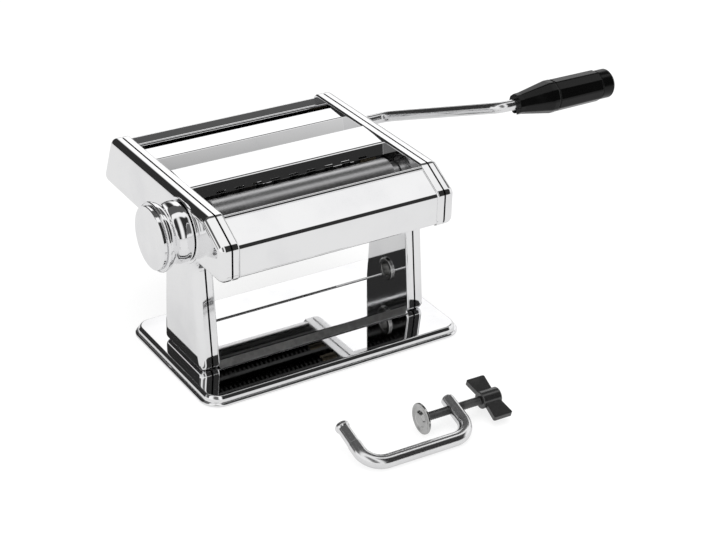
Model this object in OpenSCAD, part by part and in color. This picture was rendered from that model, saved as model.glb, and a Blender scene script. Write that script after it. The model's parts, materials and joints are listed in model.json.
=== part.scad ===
// Hand-cranked pasta machine with sheeting rollers, two cutters, a crank and a table clamp.
// Origin: centre of the base underside. +X to the crank, +Y away from the user, +Z up. Millimetres.

/* [Base] */
// How far the base's rim reaches past the outer covers, along X
base_overhang = 12.3; // [10:0.1:30]
// Depth of the base at its rim, along Y
base_d = 124.8; // [110:0.2:150]
// Height of the base's top face above the table
base_h = 7.5; // [7:0.1:12]
// Corner radius of the base rim
base_corner_r = 14; // [10:0.5:20]
// How far the base's top face is set in from its rim
base_slope = 3.8; // [3:0.1:6]
// Sheet thickness of the base
base_sheet = 1; // [0.8:0.1:1.2]
// Height of the base rim above the table
rim_lift = 0.7; // [0.4:0.1:1.2]
// Width of the rubber strip under the base
strip_w = 6; // [4:0.5:10]

/* [Sides] */
// Room between the rollers' shoulders and the inner frame, which the bushes fill
shoulder_room = 7; // [5:0.1:12]
// Thickness of one side, from the frame's inner face to the cover's outer face
side_t = 14.5; // [14:0.1:16]
// Depth of the inner frame's flange from its face
frame_depth = 5.5; // [4.5:0.1:6]
// Open seam between the frame's flange and the cover's rim
seam_gap = 0.8; // [0.4:0.1:1.2]
// Sheet thickness of frames and covers
side_sheet = 0.9; // [0.7:0.1:1.1]
// Pressed edge radius of the outer covers
cover_edge_r = 2.5; // [1.6:0.1:2.8]
// Pressed edge radius of the inner frames
frame_edge_r = 1.5; // [1.2:0.1:2]
// Front edge of the leg at its foot
leg_foot_front = -28.6; // [-32:0.1:-26]
// Back edge of the leg at its foot
leg_foot_back = 29.9; // [28:0.1:34]
// Front edge of the leg where it meets the body
leg_top_front = -18.4; // [-22:0.1:-16]
// Back edge of the leg where it meets the body
leg_top_back = 24.8; // [22:0.1:28]
// Fillet between the leg's front edge and the body
leg_fillet = 8; // [5:0.5:10]
// Fillet between the leg's back edge and the body
leg_back_fillet = 24; // [8:0.5:32]
// Front face of the body
body_front = -58.6; // [-62:0.1:-57.5]
// Height of the bend below the sloping front edge
slope_z = 117.5; // [115:0.1:119]
// Front end of the body's flat top
top_front = -34.9; // [-38:0.1:-33]
// Back end of the body's flat top
top_back = 109.2; // [108:0.1:113]
// Lower back corner of the body
low_back = 125; // [124:0.1:130]
// Height of the body's top edge
body_top = 130.85; // [130:0.05:136]
// Height of the body's lower edge
body_bottom = 91.1; // [88:0.1:91.5]
// Corner radius of the body
body_corner_r = 6; // [4:0.5:7]

/* [Plates] */
// Sheet thickness of the plates between the sides
plate_sheet = 0.8; // [0.6:0.1:1]
// How far the plates lie inside the sides' edges
plate_recess = 1.2; // [0.6:0.1:2]
// Bend radius of the plates
plate_bend_r = 2; // [1.5:0.1:3]
// Radius of the rolled hems
hem_r = 1; // [0.7:0.1:1.3]
// Front edge of the centre plate
center_front = 12.8; // [11:0.1:15]
// Back edge of the centre plate
center_back = 41.4; // [40:0.1:43]
// Front edge of the ridge's flat top
ridge_front = 66.8; // [66:0.1:68]
// Back edge of the ridge's flat top
ridge_back = 84.7; // [83:0.1:85.5]
// Front edge of the rear plate
rear_front = 100.3; // [99:0.1:102]
// Width of one tooth along the guide wall's lower edge
guide_tooth_w = 7.1; // [5:0.1:9]
// Depth of the gaps between those teeth
guide_tooth_h = 2; // [1:0.1:2.5]
// Thickness of the floor plate between the legs
floor_sheet = 1.2; // [0.8:0.1:1.6]

/* [Sheeting rollers] */
// Radius of the two smooth rollers
roller_r = 14; // [13:0.1:14.2]
// Length of every roller between its shoulders
roller_len = 141; // [120:0.5:180]
// Height of the drive roller's axis
drive_z = 109.4; // [108.8:0.1:110]
// Distance of the dial's axis behind the base centre
dial_y = -4; // [-5:0.1:-3]
// Height of the dial's axis
dial_z = 108.3; // [107.8:0.1:108.8]
// Throw of the eccentric shaft
throw = 1.5; // [1:0.1:1.6]
// Gap between the smooth rollers as the dial stands
nip_gap = 1.6; // [1.5:0.1:2]
// Radius of the eccentric length of the shaft
eccentric_r = 6; // [5.8:0.1:6.2]
// Radius of the shaft's round ends
shaft_r = 5; // [4.5:0.1:5.2]
// Wall of the sleeve between shaft and roller
sleeve_wall = 2.4; // [2:0.1:2.6]
// Radius of the drive journals with a crank socket
journal_r = 6; // [5.6:0.1:6.4]

/* [Cutters] */
// Radius of the cutting discs
cutter_r = 10.5; // [10:0.1:10.6]
// How deep the discs of a pair pass each other
cutter_bite = 2.1; // [1.2:0.1:2.4]
// Strip width of the wide cutter
wide_strip = 7.05; // [5:0.05:9]
// Strip width of the narrow cutter
narrow_strip = 2; // [1.6:0.05:3]
// Where the wide strips fall, behind the base centre
wide_nip_y = 50; // [49:0.1:51]
// Height of the wide cutter's axes
wide_z = 108.5; // [107:0.1:109]
// Where the narrow strips fall, behind the base centre
narrow_nip_y = 92.5; // [92:0.1:93]
// Height of the narrow cutter's axes
narrow_z = 111.5; // [110:0.1:112]
// Radius of the mate journals
mate_journal_r = 5; // [4.5:0.1:5.5]
// Height of the comb bars
comb_bar_h = 5; // [3:0.5:6]

/* [Gears] */
// Teeth on every gear
gear_teeth = 12; // [10:1:12]
// Face width of the gears
gear_w = 6; // [4:0.5:6.5]
// Gap between a frame and its gears
gear_gap = 2; // [1.5:0.1:2.5]

/* [Dial] */
// Radius of the dial knob's face
knob_r = 24.3; // [21:0.1:26]
// Length of the dial knob along its axis
knob_len = 23; // [20:0.5:28]
// Gap between the knob and the cover
knob_gap = 2; // [1.2:0.1:3]
// Wall of the knob shell
knob_wall = 1.4; // [1:0.1:2]

/* [Crank] */
// Radius of the crank rod
rod_r = 4; // [3.5:0.1:4.2]
// Crank radius from the drive axis to the grip axis
crank_throw = 116; // [90:1:130]
// Clear rod between the cover and the first bend
crank_reach = 34; // [25:0.5:45]
// Sideways lean of the crank arm over its throw
crank_lean = 26; // [5:0.5:30]
// Angle of the crank arm, turned about +X from +Y
crank_turn = 158.4; // [0:0.1:360]
// Bend radius of the rod
crank_bend_r = 10; // [9:0.5:16]
// Bare rod between the second bend and the grip
grip_gap = 13; // [12:0.5:30]
// Length of the grip's front cone
grip_cone_len = 33; // [25:0.5:40]
// Length of the grip's barrel
grip_barrel_len = 40; // [30:0.5:60]
// Length of the grip's end cap
grip_cap_len = 12; // [8:0.5:16]
// Largest radius of the grip
grip_r = 12; // [10:0.1:14]

/* [Clamp] */
// Radius of the clamp's bent rod
bow_r = 4.75; // [4:0.05:4.9]
// Distance between the clamp's two arms
bow_span = 79; // [70:0.5:100]
// Length of the arm that fits the socket
bow_long = 38; // [36:0.5:50]
// Length of the arm that holds the screw
bow_short = 34.4; // [33:0.5:48]
// Bend radius of the clamp rod
bow_bend_r = 14; // [10:0.5:16]
// Distance from the clamp's back to its screw
screw_offset = 24; // [21:0.5:26]
// Radius of the clamp screw
screw_r = 3; // [2.5:0.1:3.2]
// Place of the pad along the clamp's back
pad_at = 51.4; // [30:0.1:60]
// Radius of the pad
pad_r = 10.8; // [8:0.1:10.8]
// Place of the wing knob along the clamp's back
wing_at = 106.8; // [100:0.1:115]
// Reach of each wing from the screw axis
wing_reach = 18.5; // [14:0.5:24]
// Width of the wings along the screw
wing_w = 14.7; // [10:0.1:18]
// Height of the clamp socket above the table
socket_z = 31; // [30:0.5:60]
// Bore radius of the clamp socket
socket_r = 5.25; // [5.15:0.05:6]

/* [Hidden] */
$fn = 64;
// Radial clearance of running fits
run_fit = 0.05;
// Clearance between pieces that are seated on each other
seat_fit = 0.3;
// Clearance of a screw or rod in its hole
hole_fit = 0.15;
// Clearance of rollers to the plates beside them
guide_gap = 0.8;
// Steps along a pressed corner and along a pressed edge
corner_steps = 6;
edge_steps = 4;
// Overlap of a rod's straights with its bends, and how much slimmer the bends are
bend_lap = 0.05;
bend_shy = 0.02;
// Places across the machine
bay_w = roller_len + 2 * shoulder_room;
frame_in = bay_w / 2;
frame_out = frame_in + side_sheet;
frame_rim = frame_in + frame_depth;
cover_rim = frame_rim + seam_gap;
cover_out = frame_in + side_t;
cover_in = cover_out - side_sheet;
base_w = 2 * (cover_out + base_overhang);
roller_end = roller_len / 2;
journal_end = cover_in - 2;
gear_at = frame_out + gear_gap;
mate_end = gear_at + gear_w + 0.8;
neck_start = -roller_end - shoulder_room / 2;
neck_end = mate_end - 0.4;
// Axes of rollers and cutters in the Y and Z plane
dial_axis = [dial_y, dial_z];
gauge_axis = [dial_y, dial_z + throw];
drive_axis = [dial_y - 2 * roller_r - nip_gap, drive_z];
cutter_step = 2 * cutter_r - cutter_bite;
wide_drive_axis = [wide_nip_y - cutter_step / 2, wide_z];
wide_mate_axis = [wide_nip_y + cutter_step / 2, wide_z];
narrow_drive_axis = [narrow_nip_y - cutter_step / 2, narrow_z];
narrow_mate_axis = [narrow_nip_y + cutter_step / 2, narrow_z];
cutter_core_r = cutter_r - cutter_bite - 0.4;
// Radii of bushes, sleeves and necks
bush_wall = 2;
drive_bush_r = journal_r + 3;
cutter_bush_r = journal_r + bush_wall;
bush_flange = 1;
sleeve_r = eccentric_r + run_fit + sleeve_wall;
neck_r = sleeve_r + run_fit + 1.5;
neck_hole_r = neck_r + throw + 1;
dial_bush_r = shaft_r + 3;
// Gears: the smooth pair keeps its mesh while its centre distance changes
roller_step = 2 * roller_r + nip_gap;
dial_range = 60;
throw_reach = throw * sin(dial_range);
roller_tip_r = (roller_step + throw_reach) / 2 + 0.85;
roller_root_r = roller_step - throw_reach - roller_tip_r - 0.3;
cutter_tip_r = cutter_step / 2 + 1.35;
cutter_root_r = cutter_step - cutter_tip_r - 0.4;
// Crank socket: a round mouth and a half-round end that turns the roller
socket_bore_r = rod_r + run_fit;
mouth_len = 10;
tang_len = 6;
tang_r = rod_r - 0.8;
tang_flat = 1;
// Tie rods in the Y and Z plane, with their threaded ends and nuts
tie_r = 3.5;
tie_end_r = 2;
tie_nut_r = 4.04;
tie_axes = [
  [body_front + 6.7, body_bottom + 8],
  [(center_front + center_back) / 2 - 5, body_top - 12.8],
  [(wide_mate_axis[0] + narrow_drive_axis[0]) / 2 - 0.7, body_top - 8.3],
  [low_back - 13, body_bottom + 8]];
// Clamp socket place and walls
socket_y = 1.6;
socket_wall = 1.8;
socket_lip = 1.5;
// Foot brackets and their screws
bracket_t = 1.5;
bracket_h = 12;
bracket_inset = 6;
foot_screw_r = 2;
foot_head_r = 2 * foot_screw_r;
foot_head_h = 2.6;
foot_nut_h = 2.4;
foot_tail = 4;
foot_screw_x = (cover_rim + cover_in) / 2;
foot_screw_ys = [leg_foot_front + 13, leg_foot_back - 13];
// Where the crank stands and how it bends, in its own plane
rod_start = journal_end - mouth_len + seat_fit;
crank_tip = rod_start - tang_len;
crank_bend_x = cover_out + crank_reach;
grip_start = crank_bend_x + crank_lean + grip_gap;
grip_end = grip_start + grip_cone_len + grip_barrel_len + grip_cap_len;
grip_bore_r = rod_r + run_fit;
// Where the clamp lies on the table, turned and tilted
clamp_place = [-48.1, -174.3];
clamp_turn = -1.6;
clamp_tilt = asin((pad_r + 0.05 - bow_r) / screw_offset);

// Plane geometry
function unit(v) = v / norm(v);
function polar(r, a) = [r * cos(a), r * sin(a)];
function ring_at(list, i) = list[(i + len(list)) % len(list)];
function flat(p) = [p[0], p[1]];
// Arc of radius r that rounds the corner q between p and s
function corner_arc(p, q, s, r, n) =
  let (a = unit(p - q), b = unit(s - q), half = acos(a * b) / 2)
  let (mid = q + unit(a + b) * r / sin(half), from = q + a * r / tan(half) - mid)
  let (sweep = (180 - 2 * half) * sign(cross(q - p, s - q)))
  [for (i = [0:n]) let (w = sweep * i / n)
    mid + [from[0] * cos(w) - from[1] * sin(w), from[0] * sin(w) + from[1] * cos(w)]];
// Closed outline through corners given as [x, y, radius]
function rounded(c, n = corner_steps) = [for (i = [0:len(c) - 1])
  each corner_arc(flat(ring_at(c, i - 1)), flat(c[i]), flat(ring_at(c, i + 1)), c[i][2], n)];
// Open path through corners given as [x, y, radius], with plain ends
function rounded_path(c, n = corner_steps) = concat([flat(c[0])],
  [for (i = [1:len(c) - 2]) each corner_arc(flat(c[i - 1]), flat(c[i]), flat(c[i + 1]), c[i][2], n)],
  [flat(c[len(c) - 1])]);
function left_normal(p, q) = let (d = unit(q - p)) [-d[1], d[0]];
function mitre(n0, n1, d) = let (m = unit(n0 + n1)) m * d / (m * n0);
// Closed outline moved inwards by d
function inset(c, d) = [for (i = [0:len(c) - 1])
  let (n0 = left_normal(ring_at(c, i - 1), c[i]), n1 = left_normal(c[i], ring_at(c, i + 1)))
  c[i] + mitre(n0, n1, d)];
// Open path moved to its left by d
function moved_path(c, d) = let (last = len(c) - 1) [for (i = [0:last])
  let (n0 = i > 0 ? left_normal(c[i - 1], c[i]) : left_normal(c[0], c[1]))
  let (n1 = i < last ? left_normal(c[i], c[i + 1]) : n0)
  c[i] + mitre(n0, n1, d)];
function backwards(list) = [for (i = [len(list) - 1:-1:0]) list[i]];
// Points of a trapezoid-toothed gear
function gear_points(n, root, tip, root_w, tip_w, turn) = [for (i = [0:n - 1])
  let (a = turn + 360 * i / n, hr = asin(root_w / 2 / root), ht = asin(tip_w / 2 / tip))
  each [polar(root, a - hr), polar(tip, a - ht), polar(tip, a + ht), polar(root, a + hr)]];

// Shapes shared by several pieces
// Draws children made in the Y and Z plane, standing along +X from x
module from_x(x) {
  translate([x, 0, 0]) rotate([90, 0, 90]) children();
}
// Solid cylinder along +X
module bar(axis, r, x0, x1) {
  from_x(x0) translate(axis) cylinder(h = x1 - x0, r = r);
}
// Tube along +X
module tube(axis, r, bore, x0, x1) {
  difference() {
    bar(axis, r, x0, x1);
    bar(axis, bore, x0 - 1, x1 + 1);
  }
}
// Mirror copy on both sides
module both_sides() {
  children();
  mirror([1, 0, 0]) children();
}
// Bent sheet between the side frames, with its path in the Y and Z plane
module sheet(path, t, half_w) {
  from_x(-half_w) linear_extrude(2 * half_w)
    polygon(concat(moved_path(path, t / 2), backwards(moved_path(path, -t / 2))));
}
// Thin shell lofted through rings given as [height, inset], closed by the cap's flat faces
module ring_shell(outline, outer, inner, cap) {
  rings = concat(outer, inner);
  n = len(outline);
  last = len(rings) - 1;
  points = [for (r = rings) each [for (p = inset(outline, r[1])) [p[0], p[1], r[0]]]];
  walls = [for (j = [0:last]) if (j != len(outer) - 1) for (i = [0:n - 1])
    let (k = (j + 1) % (last + 1), h = (i + 1) % n)
    [j * n + i, k * n + i, k * n + h, j * n + h]];
  outer_cap = [for (face = cap) [for (i = backwards(face)) (len(outer) - 1) * n + i]];
  inner_cap = [for (face = cap) [for (i = face) len(outer) * n + i]];
  polyhedron(points, concat(walls, outer_cap, inner_cap), convexity = 6);
}
// Inner radius of a pan's pressed edge
function pan_fillet(edge_r) = max(edge_r - side_sheet, 0.4);
// Pressed pan: a face at the given depth, a rounded edge and a flange down to zero
module pressed_pan(outline, depth, edge_r, t) {
  in_r = pan_fillet(edge_r);
  outer = concat([[0, 0]], [for (i = [0:edge_steps]) let (a = 90 * i / edge_steps)
    [depth - edge_r + edge_r * sin(a), edge_r * (1 - cos(a))]]);
  inner = concat([for (i = [edge_steps:-1:0]) let (a = 90 * i / edge_steps)
    [depth - t - in_r + in_r * sin(a), t + in_r * (1 - cos(a))]], [[0, t]]);
  ring_shell(outline, outer, inner, side_cap);
}
// Round rod through points in a plane, with one bend radius
module bent_rod(points, bend, r) {
  last = len(points) - 1;
  trims = [for (i = [0:last]) i == 0 || i == last ? 0
    : bend / tan(acos(unit(points[i - 1] - points[i]) * unit(points[i + 1] - points[i])) / 2)];
  for (i = [0:last - 1]) {
    d = unit(points[i + 1] - points[i]);
    from = trims[i] - (i > 0 ? bend_lap : 0);
    to = norm(points[i + 1] - points[i]) - trims[i + 1] + (i < last - 1 ? bend_lap : 0);
    translate(points[i] + d * from) rotate([0, 90, atan2(d[1], d[0])]) cylinder(h = to - from, r = r);
  }
  for (i = [1:last - 1]) {
    arc = corner_arc(points[i - 1], points[i], points[i + 1], bend, 2);
    a = unit(points[i - 1] - points[i]);
    b = unit(points[i + 1] - points[i]);
    mid = points[i] + unit(a + b) * bend / sin(acos(a * b) / 2);
    ccw = cross(points[i] - points[i - 1], points[i + 1] - points[i]) > 0;
    first = ccw ? arc[0] - mid : arc[2] - mid;
    translate(mid) rotate([0, 0, atan2(first[1], first[0])])
      rotate_extrude(angle = 180 - acos(a * b)) translate([bend, 0]) circle(r = r - bend_shy);
  }
}
// Solid of revolution about an axis along +X, from points given as [radius, x]
module turned(axis, points) {
  from_x(0) translate(axis) rotate_extrude() polygon(points);
}

// Base
base_outline = rounded([
  [-base_w / 2, -base_d / 2, base_corner_r],
  [base_w / 2, -base_d / 2, base_corner_r],
  [base_w / 2, base_d / 2, base_corner_r],
  [-base_w / 2, base_d / 2, base_corner_r]], 2 * corner_steps);
base_under = base_h - base_sheet;
base_bead_z = base_h * 0.36;

module base_plate() {
  outer = [[rim_lift, 0.3], [rim_lift + 0.4, 0], [base_bead_z - 0.5, 0], [base_bead_z, 0.5],
    [base_bead_z + 0.4, 1.2], [base_bead_z + 1, 0.9], [base_h - 2.2, 1.1], [base_h - 1.1, 1.7],
    [base_h - 0.3, base_slope - 0.9], [base_h, base_slope]];
  inner = [[base_under, base_slope + 0.3], [base_h - 2.2, 2.3], [base_bead_z + 0.4, 2.2], [rim_lift, 1.1]];
  color("gainsboro") difference() {
    ring_shell(base_outline, outer, inner, [[for (i = [0:len(base_outline) - 1]) i]]);
    for (x = [-foot_screw_x, foot_screw_x], y = foot_screw_ys)
      translate([x, y, 0]) cylinder(h = base_h + 1, r = foot_screw_r + hole_fit);
  }
}
module rubber_strip() {
  strip_out = base_slope + 0.6;
  color([0.12, 0.12, 0.12]) linear_extrude(base_under) difference() {
    polygon(inset(base_outline, strip_out));
    polygon(inset(base_outline, strip_out + strip_w));
    for (x = [-foot_screw_x, foot_screw_x], y = foot_screw_ys)
      translate([x, y]) circle(r = foot_head_r + seat_fit);
  }
}
module floor_plate() {
  color("gainsboro") translate([-frame_in, leg_foot_front, base_h])
    cube([bay_w, leg_foot_back - leg_foot_front, floor_sheet]);
}
module foot_brackets() {
  y0 = leg_foot_front + bracket_inset;
  y1 = leg_foot_back - bracket_inset;
  foot_top = base_h + side_sheet;
  toe = cover_in - cover_edge_r;
  heel = pan_fillet(frame_edge_r);
  color("silver") both_sides() difference() {
    translate([0, y1, 0]) rotate([90, 0, 0]) linear_extrude(y1 - y0)
      polygon([[frame_out + heel, foot_top], [toe, foot_top], [toe, foot_top + bracket_t],
        [frame_out + bracket_t, foot_top + bracket_t], [frame_out + bracket_t, foot_top + bracket_h],
        [frame_out, foot_top + bracket_h], [frame_out, foot_top + heel]]);
    for (y = foot_screw_ys)
      translate([foot_screw_x, y, 0]) cylinder(h = 2 * base_h, r = foot_screw_r + hole_fit);
  }
}
module base_screws() {
  shank = foot_head_h + base_sheet + side_sheet + bracket_t + foot_tail;
  head_z = base_under - foot_head_h;
  color("silver") both_sides() for (y = foot_screw_ys) translate([foot_screw_x, y, head_z]) {
    cylinder(h = foot_head_h, r = foot_head_r);
    cylinder(h = shank, r = foot_screw_r);
  }
}
module base_nuts() {
  nut_z = base_h + side_sheet + bracket_t;
  color("silver") both_sides() for (y = foot_screw_ys) translate([foot_screw_x, y, nut_z]) difference() {
    cylinder(h = foot_nut_h, r = 1.7 * foot_screw_r, $fn = 6);
    translate([0, 0, -1]) cylinder(h = foot_nut_h + 2, r = foot_screw_r + run_fit);
  }
}

// Sides
side_outline = rounded([[leg_foot_front, base_h, 3], [leg_foot_back, base_h, 3],
  [leg_top_back, body_bottom, leg_back_fillet], [low_back, body_bottom + 1.2, body_corner_r],
  [top_back, body_top, body_corner_r], [top_front, body_top, body_corner_r],
  [body_front, slope_z, body_corner_r], [body_front, body_bottom, body_corner_r],
  [leg_top_front, body_bottom, leg_fillet]]);
// Flat faces that fill the side outline: the leg, the band between its fillets, and the body
corner_points = corner_steps + 1;
leg_front_arc = 8 * corner_points;
leg_back_arc = 2 * corner_points;
side_cap = concat(
  [concat([leg_front_arc + corner_steps], [for (i = [0:leg_back_arc]) i])],
  [for (k = [0:corner_steps - 1]) [leg_front_arc + k, leg_front_arc + k + 1,
    leg_back_arc + corner_steps - 1 - k, leg_back_arc + corner_steps - k]],
  [[for (i = [leg_back_arc + corner_steps:leg_front_arc]) i]]);
function back_y(z) = top_back + (low_back - top_back) * (body_top - z) / (body_top - body_bottom - 1.2);
cutter_axes = [wide_drive_axis, wide_mate_axis, narrow_drive_axis, narrow_mate_axis];
socket_axis = [socket_y, socket_z];

module inner_frame() {
  difference() {
    translate([frame_rim, 0, 0]) mirror([1, 0, 0]) from_x(0)
      pressed_pan(side_outline, frame_depth, frame_edge_r, side_sheet);
    bar(drive_axis, drive_bush_r + run_fit, frame_in - 1, frame_rim);
    for (axis = cutter_axes) bar(axis, cutter_bush_r + run_fit, frame_in - 1, frame_rim);
    for (axis = tie_axes) bar(axis, tie_end_r + hole_fit, frame_in - 1, frame_rim);
  }
}
module outer_cover() {
  difference() {
    translate([cover_rim, 0, 0]) from_x(0)
      pressed_pan(side_outline, cover_out - cover_rim, cover_edge_r, side_sheet);
    for (y = foot_screw_ys)
      translate([foot_screw_x, y, 0]) cylinder(h = 2 * base_h, r = foot_screw_r + hole_fit);
  }
}
module left_inner_frame() {
  color("gainsboro") mirror([1, 0, 0]) difference() {
    inner_frame();
    bar(dial_axis, dial_bush_r + run_fit, frame_in - 1, frame_rim);
  }
}
module right_inner_frame() {
  color("gainsboro") difference() {
    inner_frame();
    bar(dial_axis, neck_hole_r, frame_in - 1, frame_rim);
    bar(socket_axis, socket_r + socket_wall + run_fit, frame_in - 1, frame_rim);
  }
}
module left_outer_cover() {
  color("whitesmoke") mirror([1, 0, 0]) difference() {
    outer_cover();
    bar(dial_axis, shaft_r + 1, cover_rim, cover_out + 1);
  }
}
module right_outer_cover() {
  color("whitesmoke") difference() {
    outer_cover();
    for (axis = [drive_axis, wide_drive_axis, narrow_drive_axis])
      bar(axis, journal_r + 0.5, cover_rim, cover_out + 1);
    bar(socket_axis, socket_r + socket_wall + run_fit, cover_rim, cover_out + 1);
  }
}
module tie_rods() {
  color("silver") for (axis = tie_axes) {
    bar(axis, tie_r, -frame_in, frame_in);
    bar(axis, tie_end_r, -cover_in + 1, cover_in - 1);
  }
}
module tie_rod_nuts() {
  color("silver") both_sides() for (axis = tie_axes) difference() {
    from_x(frame_out) translate(axis) cylinder(h = cover_in - frame_out, r = tie_nut_r, $fn = 6);
    bar(axis, tie_end_r + run_fit, frame_in, cover_out);
  }
}
module clamp_socket() {
  wall_r = socket_r + socket_wall;
  color("silver") difference() {
    union() {
      bar(socket_axis, wall_r, frame_in - socket_lip, cover_out + 0.6);
      bar(socket_axis, wall_r + socket_lip, frame_in - socket_lip, frame_in);
    }
    bar(socket_axis, socket_r, frame_in - 5, cover_out + 5);
  }
}

// Plates between the sides
slope_dir = unit([body_front - top_front, slope_z - body_top]);
front_hem = [top_front - 1.2, body_top - 2.9];
front_y = body_front + plate_recess;
front_foot = body_bottom + 2.4;
front_return = 6;
front_path = rounded_path([
  concat(front_hem, 0),
  concat(front_hem + slope_dir * (front_hem[0] - front_y) / -slope_dir[0], plate_bend_r + 1),
  [front_y, front_foot, plate_bend_r],
  [front_y + front_return, front_foot, 0]]);
guide_angle = 52;
guide_end = gauge_axis + polar(roller_r + throw + guide_gap, guide_angle);
center_hem = [center_front, body_top - 2.1];
center_path = rounded_path([concat(guide_end, 0), concat(center_hem, plate_bend_r),
  [center_back, body_top - 0.4, plate_bend_r], [center_back + 2.2, body_top - 9, 0]]);
ridge_path = rounded_path([concat(wide_mate_axis + polar(cutter_r + guide_gap + 0.4, 102), 0),
  [ridge_front, body_top - 3.2, plate_bend_r], [ridge_back, body_top - 2.5, plate_bend_r],
  concat(narrow_drive_axis + polar(cutter_r + guide_gap + 0.6, 72), 0)]);
rear_hem = [rear_front, body_top - 7];
rear_top = body_top - 3.2;
rear_foot = body_bottom + 5;
rear_path = rounded_path([
  concat(rear_hem, 0),
  [back_y(rear_top) - plate_recess, rear_top, plate_bend_r],
  [back_y(rear_foot) - plate_recess, rear_foot, 2 * plate_bend_r],
  [low_back - 12, body_bottom + 2.6, 0]]);

module front_cover() {
  color("whitesmoke") {
    sheet(front_path, plate_sheet, frame_in);
    bar(front_hem, hem_r, -frame_in, frame_in);
  }
}
module center_plate() {
  wall_dir = unit(center_hem - guide_end);
  count = floor(roller_len / (2 * guide_tooth_w));
  color("whitesmoke") difference() {
    sheet(center_path, plate_sheet, frame_in);
    for (i = [0:count - 1])
      translate([(i - (count - 1) / 2) * 2 * guide_tooth_w, guide_end[0], guide_end[1]])
        rotate([atan2(wall_dir[1], wall_dir[0]), 0, 0])
          cube([guide_tooth_w, 2 * guide_tooth_h, 4 * plate_sheet], center = true);
  }
}
module ridge_cover() {
  color("whitesmoke") sheet(ridge_path, plate_sheet, frame_in);
}
module rear_cover() {
  color("whitesmoke") {
    sheet(rear_path, plate_sheet, frame_in);
    bar(rear_hem, hem_r, -frame_in, frame_in);
  }
}

// Scrapers and combs
module scraper(axis, gap, angle, lean, len) {
  near = axis + polar(roller_r + gap, angle);
  sheet([near, near + polar(len, lean)], plate_sheet, frame_in);
}
module roller_scrapers() {
  color("silver") {
    scraper(drive_axis, guide_gap, 235, 195, 6);
    scraper(gauge_axis, throw + guide_gap, 305, 345, 10);
  }
}
module comb(axis, strip, odd) {
  bar_top = axis[1] - cutter_r - 1.2;
  finger_top = axis[1] - cutter_core_r - seat_fit - 0.2;
  count = 2 * floor(roller_len / strip / 2);
  translate([-frame_in, axis[0] - 2, bar_top - comb_bar_h]) cube([bay_w, 4, comb_bar_h]);
  finger_z = (bar_top + finger_top) / 2 - 0.5;
  for (i = [odd:2:count - 1]) translate([(i + 0.5 - count / 2) * strip, axis[0], finger_z])
    cube([strip - 2 * seat_fit, 2, finger_top - bar_top + 1], center = true);
}
module wide_combs() {
  color("silver") {
    comb(wide_drive_axis, wide_strip, 1);
    comb(wide_mate_axis, wide_strip, 0);
  }
}
module narrow_combs() {
  color("silver") {
    comb(narrow_drive_axis, narrow_strip, 1);
    comb(narrow_mate_axis, narrow_strip, 0);
  }
}

// Bearings
module bush(axis, r, bore) {
  difference() {
    union() {
      bar(axis, r, roller_end + seat_fit, frame_out + 0.6);
      bar(axis, r + bush_flange, roller_end + seat_fit, frame_in);
    }
    bar(axis, bore, roller_end - 1, frame_out + 2);
  }
}
module drive_roller_bushes() {
  color("peru") both_sides() bush(drive_axis, drive_bush_r, journal_r + run_fit);
}
module cutter_bushes() {
  color("peru") both_sides() {
    for (axis = [wide_drive_axis, narrow_drive_axis]) bush(axis, cutter_bush_r, journal_r + run_fit);
    for (axis = [wide_mate_axis, narrow_mate_axis]) bush(axis, cutter_bush_r, mate_journal_r + run_fit);
  }
}
module dial_shaft_bush() {
  color("peru") mirror([1, 0, 0]) difference() {
    union() {
      bar(dial_axis, dial_bush_r, frame_in, frame_out + 3);
      bar(dial_axis, dial_bush_r + bush_flange, frame_out, frame_out + 3);
    }
    bar(dial_axis, shaft_r + run_fit, frame_in - 5, cover_out);
  }
}
module shaft_end_cup() {
  color("peru") tube(dial_axis, shaft_r + 2.5, shaft_r + run_fit, mate_end + seat_fit, cover_in);
}

// Sheeting rollers
module crank_socket(axis) {
  bar(axis, socket_bore_r, journal_end - mouth_len, journal_end + 1);
  intersection() {
    bar(axis, tang_r + run_fit, journal_end - mouth_len - tang_len, journal_end - mouth_len + 1);
    translate([journal_end - mouth_len - tang_len - 1, axis[0] - rod_r - 1, axis[1] - rod_r - 1])
      cube([tang_len + 3, 2 * rod_r + 2, rod_r + 1 + tang_flat + 0.1]);
  }
}
module drive_roller() {
  color("silver") difference() {
    union() {
      bar(drive_axis, roller_r, -roller_end, roller_end);
      bar(drive_axis, journal_r, -frame_out - 1.5, journal_end);
    }
    crank_socket(drive_axis);
  }
}
module gauge_roller() {
  color("silver") difference() {
    union() {
      bar(gauge_axis, roller_r, -roller_end, roller_end);
      bar(gauge_axis, neck_r, neck_start, neck_end);
    }
    bar(gauge_axis, sleeve_r + run_fit, -frame_in, frame_in + side_t);
  }
}
module gauge_sleeve() {
  color("peru") tube(gauge_axis, sleeve_r, eccentric_r + run_fit, neck_start, neck_end);
}
module eccentric_shaft() {
  color("silver") {
    bar(gauge_axis, eccentric_r, -frame_in + seat_fit, mate_end);
    bar(dial_axis, shaft_r, -cover_out - knob_gap - knob_len + 5, -frame_in + seat_fit);
    bar(dial_axis, shaft_r, mate_end, cover_in - seat_fit);
  }
}
module gear(axis, bore, root, tip, turn) {
  from_x(gear_at) translate(axis) linear_extrude(gear_w) difference() {
    polygon(gear_points(gear_teeth, root, tip, root * 0.24, root * 0.085, turn));
    circle(r = bore);
  }
}
module drive_roller_gear() {
  color("dimgray") gear(drive_axis, journal_r + run_fit, roller_root_r, roller_tip_r, 0);
}
module gauge_roller_gear() {
  color("dimgray") gear(gauge_axis, neck_r + run_fit, roller_root_r, roller_tip_r, 180 + 180 / gear_teeth);
}

// Dial
detent_x = frame_out + 4;
detent_w = 3;
detent_r = 11;
detent_angle = -20;
detent_reach = detent_r + 2 * seat_fit;
detent_seat = dial_axis + polar(detent_reach, detent_angle) - 12 * polar(1, detent_angle + 90);

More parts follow.
